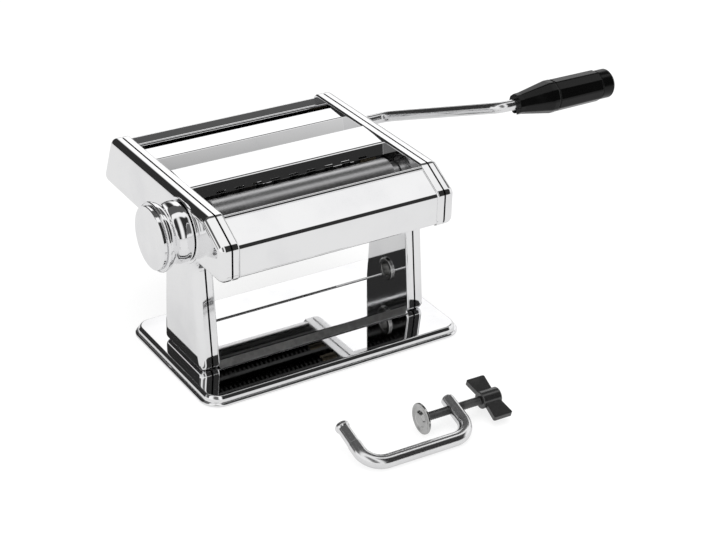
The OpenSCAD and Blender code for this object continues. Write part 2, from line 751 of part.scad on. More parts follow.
module detent_wheel() {
  notches = 18;
  color("silver") mirror([1, 0, 0]) from_x(detent_x) translate(dial_axis) linear_extrude(detent_w)
    difference() {
      circle(r = detent_r);
      circle(r = shaft_r + run_fit);
      for (i = [0:notches - 1]) rotate(360 / notches * i + detent_angle)
        translate([detent_r + 0.4, 0]) circle(r = 1.2);
    }
}
module detent_spring() {
  tip = detent_seat + 14 * polar(1, detent_angle + 90);
  side = polar(0.3, detent_angle);
  color("silver") mirror([1, 0, 0]) from_x(detent_x) linear_extrude(detent_w)
    polygon([detent_seat - side, detent_seat + side, tip + side, tip - side]);
}
module detent_post() {
  slot = 0.3 + run_fit;
  side = polar(slot, detent_angle);
  run = polar(4, detent_angle + 90);
  color("silver") mirror([1, 0, 0]) difference() {
    bar(detent_seat, 2.5, frame_out, detent_x + detent_w);
    from_x(detent_x - run_fit) linear_extrude(detent_w + 1)
      polygon([detent_seat - side, detent_seat + side, detent_seat + side + run, detent_seat - side + run]);
  }
}
module dial_index_ring() {
  color("whitesmoke") mirror([1, 0, 0])
    tube(dial_axis, knob_r - 1.2, shaft_r + 4, cover_out, cover_out + 0.8);
}
// Knob profile: a rear bulge, a waist, a front bulge and a rim lip around the recessed face
knob_back = -cover_out - knob_gap;
knob_front = knob_back - knob_len;
rear_bulge_r = knob_r - 2.2;
waist_r = knob_r - 3.6;
front_bulge_r = knob_r - 0.9;
lip_r = knob_r - 1.4;
face_depth = 2.4;
module from_knob(x) {
  translate([knob_back - x, 0, 0]) mirror([1, 0, 0]) children();
}
module dial_knob() {
  outer = rounded_path([
    [rear_bulge_r - 2.4, 0, 0],
    [rear_bulge_r, 1, 1.6],
    [rear_bulge_r, 9.5, 3],
    [waist_r, 11.2, 1.2],
    [front_bulge_r, 13.2, 3],
    [front_bulge_r, knob_len - 3.4, 1],
    [knob_r, knob_len - 2.4, 0.6],
    [knob_r, knob_len - 1.2, 0.6],
    [lip_r, knob_len - 0.8, 0]], 4);
  bore_r = waist_r - knob_wall;
  inner = [[lip_r, knob_len - face_depth], [bore_r, knob_len - face_depth], [bore_r, 0]];
  color("whitesmoke") from_knob(0) turned(dial_axis, concat(outer, inner));
}
module dial_face() {
  face_r = lip_r - run_fit;
  dome = 1.2;
  dome_r = (face_r * face_r + dome * dome) / (2 * dome);
  color("whitesmoke") from_knob(knob_len - face_depth) from_x(0) translate(dial_axis)
    intersection() {
      cylinder(h = face_depth, r = face_r);
      translate([0, 0, face_depth - dome_r]) sphere(r = dome_r, $fn = 256);
    }
}
set_screw_r = 1.5;
set_screw_x = 6;
module set_screw_at(depth) {
  translate([knob_back - set_screw_x, dial_axis[0] - depth, dial_axis[1]]) rotate([90, 0, 0]) children();
}
module dial_hub() {
  hub_r = waist_r - knob_wall - run_fit;
  color([0.15, 0.15, 0.15]) difference() {
    bar(dial_axis, hub_r, knob_front + face_depth + 0.2, knob_back - 0.4);
    bar(dial_axis, shaft_r + run_fit, knob_front + face_depth + 2.1, knob_back + 1);
    set_screw_at(0) cylinder(h = knob_r, r = set_screw_r + 0.1);
  }
}
module dial_set_screw() {
  color("silver") set_screw_at(shaft_r + run_fit) cylinder(h = 8, r = set_screw_r);
}

// Cutters
// Discs and grooves as [radius, x], where discs stand on strips of the given parity
function cutter_profile(strip, odd) = let (count = 2 * floor(roller_len / strip / 2), side = 0.12)
  concat([[0, -roller_end], [cutter_core_r, -roller_end]],
    [for (i = [odd:2:count - 1])
      let (a = (i - count / 2) * strip + side, b = a + strip - 2 * side)
      each [[cutter_core_r, a], [cutter_r, a], [cutter_r, b], [cutter_core_r, b]]],
    [[cutter_core_r, roller_end], [0, roller_end]]);
module drive_cutter(axis, strip) {
  color("silver") difference() {
    union() {
      turned(axis, cutter_profile(strip, 0));
      bar(axis, journal_r, -frame_out - 1.5, journal_end);
    }
    crank_socket(axis);
  }
}
module mate_cutter(axis, strip) {
  color("silver") {
    turned(axis, cutter_profile(strip, 1));
    bar(axis, mate_journal_r, -frame_out - 1.5, mate_end);
  }
}
module drive_cutter_gear(axis) {
  color("dimgray") gear(axis, journal_r + run_fit, cutter_root_r, cutter_tip_r, 0);
}
module mate_cutter_gear(axis) {
  color("dimgray") gear(axis, mate_journal_r + run_fit, cutter_root_r, cutter_tip_r, 180 + 180 / gear_teeth);
}
module wide_drive_cutter() {
  drive_cutter(wide_drive_axis, wide_strip);
}
module wide_drive_gear() {
  drive_cutter_gear(wide_drive_axis);
}
module wide_mate_cutter() {
  mate_cutter(wide_mate_axis, wide_strip);
}
module wide_mate_gear() {
  mate_cutter_gear(wide_mate_axis);
}
module narrow_drive_cutter() {
  drive_cutter(narrow_drive_axis, narrow_strip);
}
module narrow_drive_gear() {
  drive_cutter_gear(narrow_drive_axis);
}
module narrow_mate_cutter() {
  mate_cutter(narrow_mate_axis, narrow_strip);
}
module narrow_mate_gear() {
  mate_cutter_gear(narrow_mate_axis);
}

// Crank, drawn in its own plane: x along the drive axis, y along the arm
module crank_plane() {
  translate([0, narrow_drive_axis[0], narrow_drive_axis[1]]) rotate([crank_turn, 0, 0]) children();
}
module crank_rod() {
  color("silver") difference() {
    crank_plane() {
      bar([0, 0], tang_r, crank_tip, rod_start + 1);
      bent_rod([[rod_start, 0], [crank_bend_x, 0], [crank_bend_x + crank_lean, crank_throw],
        [grip_end - grip_cap_len + 2, crank_throw]], crank_bend_r, rod_r);
    }
    translate([crank_tip - 1, narrow_drive_axis[0] - 2 * rod_r, narrow_drive_axis[1] + tang_flat])
      cube([tang_len + 1 - seat_fit, 4 * rod_r, 2 * rod_r]);
  }
}
// Grip piece turned about the grip axis, from points given as [radius, x]
module on_grip(points) {
  crank_plane() translate([0, crank_throw, 0]) turned([0, 0], points);
}
cone_end = grip_start + grip_cone_len;
barrel_end = cone_end + grip_barrel_len;
module grip_cone() {
  nose_r = grip_r - 4.2;
  color([0.06, 0.06, 0.06]) on_grip([[grip_bore_r, grip_start], [nose_r - 0.4, grip_start],
    [nose_r, grip_start + 0.6], [nose_r, grip_start + 4], [grip_r, cone_end - 5], [grip_r, cone_end - 1],
    [grip_r - 0.5, cone_end], [grip_bore_r, cone_end]]);
}
module grip_barrel() {
  flats = 10;
  color([0.06, 0.06, 0.06]) intersection() {
    on_grip([[grip_bore_r, cone_end], [grip_r - 0.8, cone_end], [grip_r - 0.2, cone_end + 0.8],
      [grip_r - 0.4, barrel_end - 0.8], [grip_r - 1.2, barrel_end], [grip_bore_r, barrel_end]]);
    crank_plane() translate([cone_end - 1, crank_throw, 0]) rotate([0, 90, 0])
      cylinder(h = grip_barrel_len + 2, r = (grip_r - 0.6) / cos(180 / flats), $fn = flats);
  }
}
module grip_cap() {
  cap_r = grip_r - 1.2;
  pocket = barrel_end + 4.6;
  color([0.06, 0.06, 0.06]) on_grip([[0, pocket], [rod_r + 2, pocket], [rod_r + 2, barrel_end],
    [cap_r - 0.6, barrel_end], [cap_r, barrel_end + 0.8], [cap_r, grip_end - 2.2],
    [cap_r - 1.2, grip_end - 0.5], [cap_r - 2.8, grip_end], [0, grip_end]]);
}
module grip_retainer() {
  ring_r = rod_r + 1.7;
  ring_start = barrel_end + 0.2;
  ring_end = ring_start + 1.2;
  color("silver") on_grip([[rod_r + run_fit, ring_start], [ring_r, ring_start], [ring_r, ring_end],
    [rod_r + run_fit, ring_end]]);
}

// Clamp, drawn in its own plane: x along its back, y along its arms
module clamp_plane() {
  translate([clamp_place[0], clamp_place[1], bow_r]) rotate([clamp_tilt, 0, clamp_turn]) children();
}
// Solid of revolution about the clamp screw, from points given as [radius, x]
module on_screw(points) {
  clamp_plane() translate([0, screw_offset, 0]) turned([0, 0], points);
}
pad_t = 2.6;
screw_end = wing_at + wing_w / 2 - 3;
module clamp_bow() {
  color("silver") clamp_plane() difference() {
    union() {
      bent_rod([[0, bow_long], [0, 0], [bow_span, 0], [bow_span, bow_short]], bow_bend_r, bow_r);
      translate([0, bow_long - 3.2, 0]) rotate([-90, 0, 0]) rotate_extrude()
        polygon([[0, 0], [bow_r, 0], [bow_r + 0.35, 0.8], [bow_r + 0.35, 2.6], [bow_r - 0.4, 3.6], [0, 3.6]]);
    }
    translate([bow_span - 2 * bow_r, screw_offset, 0]) rotate([0, 90, 0])
      cylinder(h = 4 * bow_r, r = screw_r + run_fit);
  }
}
module clamp_screw() {
  color([0.25, 0.25, 0.25]) on_screw([[0, pad_at + pad_t + seat_fit], [screw_r, pad_at + pad_t + seat_fit],
    [screw_r, screw_end], [0, screw_end]]);
}
module clamp_wing_knob() {
  hub_r = 2 * screw_r;
  x0 = wing_at - wing_w / 2;
  wing_t = 4.6;
  color([0.08, 0.08, 0.08]) clamp_plane() translate([x0, screw_offset, 0]) difference() {
    union() {
      rotate([0, 90, 0]) cylinder(h = wing_w, r = hub_r);
      translate([0, -wing_reach, -wing_t / 2]) cube([wing_w, 2 * wing_reach, wing_t]);
    }
    translate([-1, 0, 0]) rotate([0, 90, 0]) cylinder(h = screw_end - x0 + 1, r = screw_r + run_fit);
  }
}
module clamp_pad() {
  boss_r = 2.4;
  color([0.6, 0.6, 0.58]) on_screw([[0, pad_at - 1], [boss_r, pad_at - 1], [boss_r + 0.8, pad_at - 0.4],
    [0.65 * pad_r, pad_at], [pad_r - 0.6, pad_at + 1.4], [pad_r, pad_at + 1.8], [pad_r, pad_at + pad_t],
    [0, pad_at + pad_t]]);
}

base_plate();
rubber_strip();
floor_plate();
foot_brackets();
base_screws();
base_nuts();
left_inner_frame();
right_inner_frame();
left_outer_cover();
right_outer_cover();
front_cover();
center_plate();
ridge_cover();
rear_cover();
tie_rods();
tie_rod_nuts();
clamp_socket();
roller_scrapers();
wide_combs();
narrow_combs();
drive_roller_bushes();
cutter_bushes();
dial_shaft_bush();
shaft_end_cup();
dial_index_ring();
detent_spring();
detent_post();
drive_roller();
drive_roller_gear();
gauge_roller();
gauge_roller_gear();
gauge_sleeve();
eccentric_shaft();
detent_wheel();
dial_knob();
dial_face();
dial_hub();
dial_set_screw();
wide_drive_cutter();
wide_drive_gear();
wide_mate_cutter();
wide_mate_gear();
narrow_drive_cutter();
narrow_drive_gear();
narrow_mate_cutter();
narrow_mate_gear();
crank_rod();
grip_cone();
grip_barrel();
grip_cap();
grip_retainer();
clamp_bow();
clamp_screw();
clamp_wing_knob();
clamp_pad();
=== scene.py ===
"""Looks of a hand-cranked pasta machine: fine shells, plates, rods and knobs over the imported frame.

Sizes are in millimetres in the machine's own frame, and become metres where a mesh is made.
"""
import json
import math

import bmesh
import bpy
from mathutils import Matrix, Vector


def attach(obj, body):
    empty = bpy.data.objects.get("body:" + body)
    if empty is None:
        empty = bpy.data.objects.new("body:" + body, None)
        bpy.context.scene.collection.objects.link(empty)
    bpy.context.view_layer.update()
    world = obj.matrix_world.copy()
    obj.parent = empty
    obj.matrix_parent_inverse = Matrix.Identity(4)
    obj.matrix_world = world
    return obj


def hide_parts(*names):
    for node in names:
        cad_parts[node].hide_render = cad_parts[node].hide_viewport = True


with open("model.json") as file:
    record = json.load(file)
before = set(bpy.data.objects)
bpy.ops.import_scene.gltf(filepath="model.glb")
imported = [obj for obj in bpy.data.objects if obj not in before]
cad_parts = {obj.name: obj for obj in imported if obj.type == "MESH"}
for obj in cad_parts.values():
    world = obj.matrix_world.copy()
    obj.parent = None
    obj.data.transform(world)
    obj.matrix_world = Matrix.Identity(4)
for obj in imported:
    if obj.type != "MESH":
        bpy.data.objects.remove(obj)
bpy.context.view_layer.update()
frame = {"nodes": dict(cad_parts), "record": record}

MM = 0.001
TAU = math.tau
WELD = 2e-7
CREASE = math.radians(32)

# Base
BASE_W, BASE_D, BASE_H = 208.6, 124.8, 7.5
BASE_CORNER_R = 14
BASE_SLOPE = 3.8
BASE_SHEET = 1
RIM_LIFT = 0.7
BEAD_Z = 0.36 * BASE_H

# Places across the machine
FRAME_IN, FRAME_RIM = 77.5, 82.75
COVER_RIM, COVER_OUT = 84.05, 92.0
SIDE_SHEET = 0.9
COVER_EDGE_R, FRAME_EDGE_R = 5.0, 1.5
FOOT_FRONT, FOOT_BACK = -28.6, 29.9
LEG_FRONT, LEG_BACK = -18.4, 24.8
BODY_FRONT, BODY_BOTTOM, BODY_TOP = -58.6, 91.1, 130.85
SLOPE_Z = 117.5
TOP_FRONT, TOP_BACK, LOW_BACK = -34.9, 109.2, 125
BODY_CORNER_R, LEG_FILLET, LEG_BACK_FILLET, FOOT_CORNER_R = 6, 8, 24, 5

# Axes in the Y and Z plane
DIAL_AXIS = (-4, 108.3)
GAUGE_AXIS = (-4, 109.8)
DRIVE_AXIS = (-33.6, 109.4)
WIDE_AXES = ((40.55, 108.5), (59.45, 108.5))
NARROW_AXES = ((83.05, 111.5), (101.95, 111.5))
SOCKET_AXIS = (1.6, 31)
TIE_AXES = ((-51.9, 99.1), (22.1, 118.05), (70.55, 122.55), (112, 99.1))

# Holes in the sides, as radii
DRIVE_BUSH_SEAT_R, BUSH_SEAT_R, TIE_HOLE_R = 9.05, 8.05, 2.15
ROLLER_NECK_HOLE_R, DIAL_SHAFT_HOLE_R, CRANK_HOLE_R = 12.5, 6, 6.5
SOCKET_BORE_R, SOCKET_WALL_R, SOCKET_HOLE_R, SOCKET_FLANGE = 5.25, 7.05, 7.1, 1.5

# Plates
PLATE_SHEET = 0.8
PLATE_RECESS = 1.2
PLATE_BEND_R = 2
FRONT_BEND_R = 3.4
CENTER_BEND_R = 3.2
HEM_R = 1.7
GUIDE_TOOTH_W, GUIDE_TOOTH_H = 7.1, 2

# Rollers and dial
ROLLER_R, ROLLER_END = 14, 70.5
NECK_R, SLEEVE_BORE_R = 10.0, 8.5
NECK_START, NECK_END = -74, 86.8
KNOB_R, KNOB_LEN = 24.3, 23
KNOB_BACK = -COVER_OUT - 2

# Crank
ROD_R, TANG_R, TANG_LEN = 4, 3.2, 6
ROD_START = 79.4
CRANK_BEND_X, CRANK_LEAN, CRANK_THROW = 126, 26, 116
CRANK_TURN = math.radians(158.4)
CRANK_BEND_R = 10
GRIP_START, CONE_END, BARREL_END, GRIP_END = 165, 198, 238, 250
GRIP_R = 12
GRIP_FLATS = 10

# Clamp
BOW_R, BOW_SPAN, BOW_SHORT, BOW_BEND_R = 4.75, 79, 34.4, 14
SCREW_OFFSET, SCREW_R, SCREW_HOLE_R = 24, 3, 3.05
THREAD_DEPTH = 0.28
PAD_AT, PAD_R, PAD_T = 51.4, 10.8, 2.6
WING_AT, WING_REACH, WING_W, WING_WAIST, WING_T = 106.8, 18.5, 14.7, 11.4, 3.4
SCREW_PITCH = 1.5
CLAMP_TILT = math.asin((PAD_R + 0.05 - BOW_R) / SCREW_OFFSET)

IDENTITY = Matrix.Identity(4)
CRANK_PLANE = Matrix.Translation((0, *NARROW_AXES[0])) @ Matrix.Rotation(CRANK_TURN, 4, "X")
GRIP_PLANE = CRANK_PLANE @ Matrix.Translation((0, CRANK_THROW, 0))
CLAMP_PLANE = (
    Matrix.Translation((-48.1, -174.3, BOW_R))
    @ Matrix.Rotation(math.radians(-1.6), 4, "Z")
    @ Matrix.Rotation(CLAMP_TILT, 4, "X")
)
SCREW_PLANE = CLAMP_PLANE @ Matrix.Translation((0, SCREW_OFFSET, 0))


# Plane geometry


def polar(radius, degrees):
    angle = math.radians(degrees)
    return Vector((radius * math.cos(angle), radius * math.sin(angle)))


def corner_arc(before, corner, after, radius, steps):
    """Points of the arc that rounds a corner."""
    a = (before - corner).normalized()
    b = (after - corner).normalized()
    half = math.acos(max(-1, min(1, a.dot(b)))) / 2
    if radius <= 0 or half > math.radians(89.9):
        return [corner.copy()]
    middle = corner + (a + b).normalized() * radius / math.sin(half)
    start = corner + a * radius / math.tan(half) - middle
    sweep = math.pi - 2 * half
    if (corner - before).cross(after - corner) < 0:
        sweep = -sweep
    points = []
    for i in range(steps + 1):
        turn = sweep * i / steps
        c, s = math.cos(turn), math.sin(turn)
        points.append(middle + Vector((start.x * c - start.y * s, start.x * s + start.y * c)))
    return points


def rounded(corners, steps, closed=True):
    """Outline through corners given as (x, y, radius). An open path keeps its plain ends."""
    flat = [Vector(c[:2]) for c in corners]
    count = len(flat)
    points = []
    for i, corner in enumerate(corners):
        if not closed and i in (0, count - 1):
            points.append(flat[i])
        else:
            points += corner_arc(flat[i - 1], flat[i], flat[(i + 1) % count], corner[2], steps)
    return points


def left_of(p, q):
    along = (q - p).normalized()
    return Vector((-along.y, along.x))


def moved(points, distance, closed):
    """Path moved to its left by a distance."""
    last = len(points) - 1
    result = []
    for i, p in enumerate(points):
        before = left_of(points[i - 1], p) if closed or i > 0 else left_of(p, points[1])
        after = left_of(p, points[(i + 1) % (last + 1)]) if closed or i < last else before
        mid = (before + after).normalized()
        result.append(p + mid * distance / mid.dot(before))
    return result


# Solids, as corner points and faces


def lathe(profile, place=IDENTITY, sides=96, closed=False, trim=None):
    """Solid turned about X, from (x, radius) points. trim gives the radius at an angle."""
    points = []
    for x, r in profile:
        for k in range(sides):
            angle = TAU * k / sides
            radius = trim(r, angle, x) if trim else r
            points.append(place @ Vector((x, radius * math.cos(angle), radius * math.sin(angle))))
    rows = len(profile)
    faces = []
    for j in range(rows if closed else rows - 1):
        for k in range(sides):
            a, b = j * sides, (j + 1) % rows * sides
            h = (k + 1) % sides
            faces.append((a + k, b + k, b + h, a + h))
    return points, faces


def at_axis(axis):
    """Place of a solid that turns about a line along X."""
    return Matrix.Translation((0, *axis))


def disc_bar(axis, radius, x0, x1, sides=64):
    """Plain round bar along X, used to cut holes."""
    return lathe([(x0, 0), (x0, radius), (x1, radius), (x1, 0)], at_axis(axis), sides)


def block(low, high, place=IDENTITY):
    """Plain box, used to cut slots."""
    points = []
    for z in (low[2], high[2]):
        for y in (low[1], high[1]):
            points += [place @ Vector((x, y, z)) for x in (low[0], high[0])]
    return points, [(0, 2, 3, 1), (4, 5, 7, 6), (0, 1, 5, 4), (1, 3, 7, 5), (3, 2, 6, 7), (2, 0, 4, 6)]


def swept(stations, place, sides=48):
    """Round rod in the local X and Y plane, through (centre, direction, radius) stations."""
    points = []
    for centre, along, radius in stations:
        side = Vector((-along.y, along.x))
        for k in range(sides):
            angle = TAU * k / sides
            flat = centre + side * radius * math.cos(angle)
            points.append(place @ Vector((flat.x, flat.y, radius * math.sin(angle))))
    faces = []
    for j in range(len(stations) - 1):
        for k in range(sides):
            h = (k + 1) % sides
            faces.append((j * sides + k, j * sides + sides + k, j * sides + sides + h, j * sides + h))
    return points, faces


def rod_stations(corners, bend, radius, steps=20):
    """Stations along a bent rod, with both end faces open."""
    path = rounded([(*c, bend) for c in corners], steps, closed=False)
    stations = []
    for i, p in enumerate(path):
        along = path[min(i + 1, len(path) - 1)] - path[max(i - 1, 0)]
        stations.append((p, along.normalized(), radius))
    return stations


def turned_end(station, outline, outward):
    """Stations past a rod's end, from (reach, radius) points."""
    centre, along, _ = station
    step = along if outward else -along
    ends = [(centre + step * reach, along, radius) for reach, radius in outline]
    return ends if outward else ends[::-1]


def extruded(outline, x0, x1):
    """Solid along X from an outline in the Y and Z plane."""
    count = len(outline)
    points = [Vector((x, p.x, p.y)) for x in (x0, x1) for p in outline]
    faces = [(i, (i + 1) % count, count + (i + 1) % count, count + i) for i in range(count)]
    faces.append(tuple(range(count)))
    faces.append(tuple(range(count, 2 * count)))
    return points, faces


def prism(outline, z0, z1, place):
    """Solid along local Z from an outline in the local X and Y plane."""
    points, faces = extruded(outline, z0, z1)
    return [place @ Vector((p.y, p.z, p.x)) for p in points], faces


def shell(outline, outer, inner, place):
    """Thin pressed shell through rings given as (height, inset), closed by two flat faces."""
    rings = outer + inner
    count = len(outline)
    points = []
    for height, inwards in rings:
        points += [place(p, height) for p in moved(outline, inwards, True)]
    faces = []
    for j in range(len(rings)):
        if j == len(outer) - 1:
            continue
        k = (j + 1) % len(rings)
        for i in range(count):
            h = (i + 1) % count
            faces.append((j * count + i, k * count + i, k * count + h, j * count + h))
    first = (len(outer) - 1) * count
    faces.append(tuple(range(first, first + count)))
    faces.append(tuple(range(first + count, first + 2 * count)))
    inside = {i for i, face in enumerate(faces) if min(face) >= first + count}
    return points, faces, inside


# Pieces


def mesh_of(name, solids):
    """One Blender mesh of several solids, in metres."""
    points, faces, linings = [], [], []
    for solid_points, solid_faces, *inside in solids:
        start = len(points)
        points += [Vector(p) * MM for p in solid_points]
        faces += [tuple(start + i for i in face) for face in solid_faces]
        linings += [1 if inside and i in inside[0] else 0 for i in range(len(solid_faces))]
    mesh = bpy.data.meshes.new(name)
    mesh.from_pydata(points, [], faces)
    mesh.polygons.foreach_set("material_index", linings)
    tidy = bmesh.new()
    tidy.from_mesh(mesh)
    bmesh.ops.remove_doubles(tidy, verts=tidy.verts, dist=WELD)
    bmesh.ops.recalc_face_normals(tidy, faces=tidy.faces)
    tidy.to_mesh(mesh)
    tidy.free()
    return mesh


def shaped(name, solids, cuts=(), joins=()):
    """Mesh of solids with others cut away or joined on."""
    work = bpy.data.objects.new(name, mesh_of(name, solids))
    bpy.context.scene.collection.objects.link(work)
    tools = []
    for operation, others in (("UNION", joins), ("DIFFERENCE", cuts)):
        for other in others:
            tool = bpy.data.objects.new(name + "_tool", mesh_of(name + "_tool", [other]))
            bpy.context.scene.collection.objects.link(tool)
            tools.append(tool)
            step = work.modifiers.new(operation, "BOOLEAN")
            step.operation = operation
            step.solver = "EXACT"
            step.object = tool
    bpy.context.view_layer.update()
    result = bpy.data.meshes.new_from_object(work.evaluated_get(bpy.context.evaluated_depsgraph_get()))
    for spent in tools + [work]:
        bpy.data.objects.remove(spent)
    result.name = name
    return result


def piece(node, solids, finish, body, cuts=(), joins=(), bevel=0, lining=None):
    """Finished piece that stands for the CAD node of that name. lining is the finish of its inside."""
    name = node + "_look"
    mesh = shaped(name, solids, cuts, joins) if cuts or joins else mesh_of(name, solids)
    soft = bmesh.new()
    soft.from_mesh(mesh)
    for face in soft.faces:
        face.smooth = True
    for edge in soft.edges:
        edge.smooth = len(edge.link_faces) == 2 and edge.calc_face_angle() < CREASE
    soft.to_mesh(mesh)
    soft.free()
    indices = [polygon.material_index for polygon in mesh.polygons]
    mesh.materials.clear()
    mesh.materials.append(finish)
    if lining:
        mesh.materials.append(lining)
        mesh.polygons.foreach_set("material_index", indices)
    made = bpy.data.objects.new(name, mesh)
    bpy.context.scene.collection.objects.link(made)
    if bevel:
        edge = made.modifiers.new("soft edges", "BEVEL")
        edge.width = bevel * MM
        edge.segments = 3
        edge.limit_method = "ANGLE"
        edge.angle_limit = CREASE
        edge.harden_normals = False
    even = made.modifiers.new("flat faces", "WEIGHTED_NORMAL")
    even.mode = "FACE_AREA"
    even.keep_sharp = not bevel
    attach(made, body)
    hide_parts(node)


# Finishes


class Socket:
    """A node's output that takes part in Python expressions."""

    def __init__(self, finish, output):
        self.finish, self.output = finish, output

    def maths(self, operation, first, second):
        return self.finish.node("ShaderNodeMath", {"operation": operation}, {0: first, 1: second})

    def __add__(self, other):
        return self.maths("ADD", self, other)

    def __radd__(self, other):
        return self.maths("ADD", other, self)

    def __sub__(self, other):
        return self.maths("SUBTRACT", self, other)

    def __rsub__(self, other):
        return self.maths("SUBTRACT", other, self)

    def __mul__(self, other):
        return self.maths("MULTIPLY", self, other)

    def __rmul__(self, other):
        return self.maths("MULTIPLY", other, self)

    def __truediv__(self, other):
        return self.maths("DIVIDE", self, other)

    def __rtruediv__(self, other):
        return self.maths("DIVIDE", other, self)

    def at_least(self, other):
        return self.maths("MAXIMUM", self, other)

    def above(self, low, high):
        """0 below low, 1 above high, and smooth between."""
        return self.finish.node(
            "ShaderNodeMapRange",
            {"interpolation_type": "SMOOTHSTEP"},
            {"Value": self, "From Min": low, "From Max": high},
        )


class Finish:
    """Node tree of one finish, with a method that adds any node."""

    def __init__(self, tree):
        self.tree = tree
        tree.nodes.clear()

    def node(self, kind, settings=None, values=None, output=0):
        made = self.tree.nodes.new(kind)
        for key, value in (settings or {}).items():
            setattr(made, key, value)
        for key, value in (values or {}).items():
            if isinstance(value, Socket):
                self.tree.links.new(value.output, made.inputs[key])
            else:
                made.inputs[key].default_value = value
        return Socket(self, made.outputs[output])

    def place(self, stretch=(1, 1, 1)):
        """Place on the piece in metres, stretched along its axes."""
        where = self.node("ShaderNodeTexCoord", output="Object")
        if stretch == (1, 1, 1):
            return where
        return self.node("ShaderNodeVectorMath", {"operation": "MULTIPLY"}, {0: where, 1: stretch})

    def noise(self, scale, detail, stretch=(1, 1, 1)):
        return self.node(
            "ShaderNodeTexNoise",
            values={"Vector": self.place(stretch), "Scale": scale, "Detail": detail, "Roughness": 0.5},
        )

    def blend(self, factor, dark, light):
        """Colour between two colours."""
        return self.node(
            "ShaderNodeMix",
            {"data_type": "RGBA", "clamp_factor": True},
            {0: factor, 6: (*dark, 1), 7: (*light, 1)},
            output=2,
        )

    def bump(self, height, distance):
        return self.node("ShaderNodeBump", values={"Height": height, "Distance": distance, "Strength": 1})

    def surface(self, **values):
        """Principled surface as this finish's output."""
        named = {key.replace("_", " ").title(): value for key, value in values.items()}
        if "Specular Ior Level" in named:
            named["Specular IOR Level"] = named.pop("Specular Ior Level")
        shader = self.node("ShaderNodeBsdfPrincipled", values=named, output="BSDF")
        self.node_output(shader)

    def node_output(self, shader):
        out = self.tree.nodes.new("ShaderNodeOutputMaterial")
        self.tree.links.new(shader.output, out.inputs["Surface"])


def new_finish(name):
    material = bpy.data.materials.new(name)
    material.use_nodes = True
    return material, Finish(material.node_tree)


def chrome(name, dark, light, smooth, smudged, wave):
    """Chrome plate: faint smudges in its gloss and a slow wave in the pressed sheet."""
    material, f = new_finish(name)
    smudge = f.noise(28, 4).above(0.42, 0.72)
    grain = f.noise(900, 2)
    rough = smooth + smudge * (smudged - smooth) + grain * 0.012
    f.surface(
        base_color=f.blend(smudge, light, dark),
        metallic=1.0,
        roughness=rough,
        normal=f.bump(f.noise(9, 1), wave),
    )
    return material


def turned_steel(name, dark, light, lines):
    """Polished roller steel with fine turning marks around its axis."""
    material, f = new_finish(name)
    mark = f.noise(420, 3, (1, 0.02, 0.02))
    stain = f.noise(35, 3).above(0.45, 0.75)
    f.surface(
        base_color=f.blend(mark, dark, light),
        metallic=1.0,
        roughness=0.27 + mark * 0.07 + stain * 0.05,
        normal=f.bump(mark, lines),
    )
    return material


def zinc(name, dark, light, gloss):
    """Zinc plate with pale crystals."""
    material, f = new_finish(name)
    crystal = f.node("ShaderNodeTexVoronoi", values={"Vector": f.place(), "Scale": 420.0}, output="Color")
    shade = f.node("ShaderNodeSeparateColor", values={"Color": crystal})
    grain = f.noise(1600, 3)
    f.surface(
        base_color=f.blend(shade * 0.6 + grain * 0.4, dark, light),
        metallic=0.9,
        roughness=gloss + shade * 0.12,
        normal=f.bump(grain, 0.00003),
    )
    return material


def machined(name, dark, light, rough):
    """Oiled or bare machined metal. With near-black colours it also gives painted shade."""
    material, f = new_finish(name)
    tool_mark = f.noise(700, 2, (0.2, 1, 1))
    oil = f.noise(60, 4).above(0.45, 0.7)
    f.surface(
        base_color=f.blend(oil, light, dark),
        metallic=1.0,
        roughness=rough + tool_mark * 0.12,
        normal=f.bump(tool_mark, 0.00002),
    )
    return material


def moulded(name, dark, light, rough, texture, shine):
    """Black moulded plastic with a fine skin and a little dust."""
    material, f = new_finish(name)
    skin = f.noise(texture, 2)
    dust = f.noise(45, 5).above(0.52, 0.8)
    f.surface(
        base_color=f.blend(dust, dark, light),
        roughness=rough + skin * 0.08 + dust * 0.08,
        specular_ior_level=shine,
        normal=f.bump(skin, 0.00003),
    )
    return material


def rubber_finish():
    material, f = new_finish("matt_black_rubber")
    pore = f.noise(1300, 3)
    f.surface(
        base_color=f.blend(pore, (0.012, 0.012, 0.012), (0.035, 0.035, 0.034)),
        roughness=0.72 + pore * 0.18,
        normal=f.bump(pore, 0.00005),
    )
    return material


cover_chrome = chrome("cover_chrome", (0.83, 0.83, 0.84), (0.88, 0.88, 0.885), 0.03, 0.055, 0.00003)
plate_chrome = chrome("plate_chrome", (0.84, 0.84, 0.85), (0.89, 0.89, 0.895), 0.025, 0.05, 0.00003)
base_chrome = chrome("base_chrome", (0.80, 0.80, 0.81), (0.86, 0.86, 0.865), 0.02, 0.045, 0.00003)
knob_chrome = chrome("knob_chrome", (0.82, 0.82, 0.83), (0.88, 0.88, 0.885), 0.04, 0.07, 0.00001)
rod_chrome = chrome("rod_chrome", (0.74, 0.74, 0.75), (0.82, 0.82, 0.825), 0.17, 0.22, 0.00001)
roller_steel = turned_steel("roller_steel", (0.42, 0.42, 0.425), (0.54, 0.54, 0.545), 0.000002)
cutter_steel = turned_steel("cutter_steel", (0.42, 0.42, 0.43), (0.6, 0.6, 0.605), 0.000008)
zinc_plate = zinc("zinc_plate", (0.36, 0.36, 0.355), (0.55, 0.55, 0.54), 0.32)
pad_plating = chrome("pad_plating", (0.38, 0.38, 0.375), (0.52, 0.52, 0.515), 0.14, 0.22, 0.00002)
# Near-black insides of the side frames and covers: painted shade for the closed cavity between them.
painted_shade_inside = machined("painted_shade_inside", (0.03, 0.03, 0.03), (0.06, 0.06, 0.06), 0.5)
# Near-black steel for the cutters, combs and tie rods: painted shade for the dark inside and under the body.
painted_shade_cutter_steel = machined("painted_shade_cutter_steel", (0.012, 0.012, 0.012), (0.022, 0.022, 0.022), 0.3)
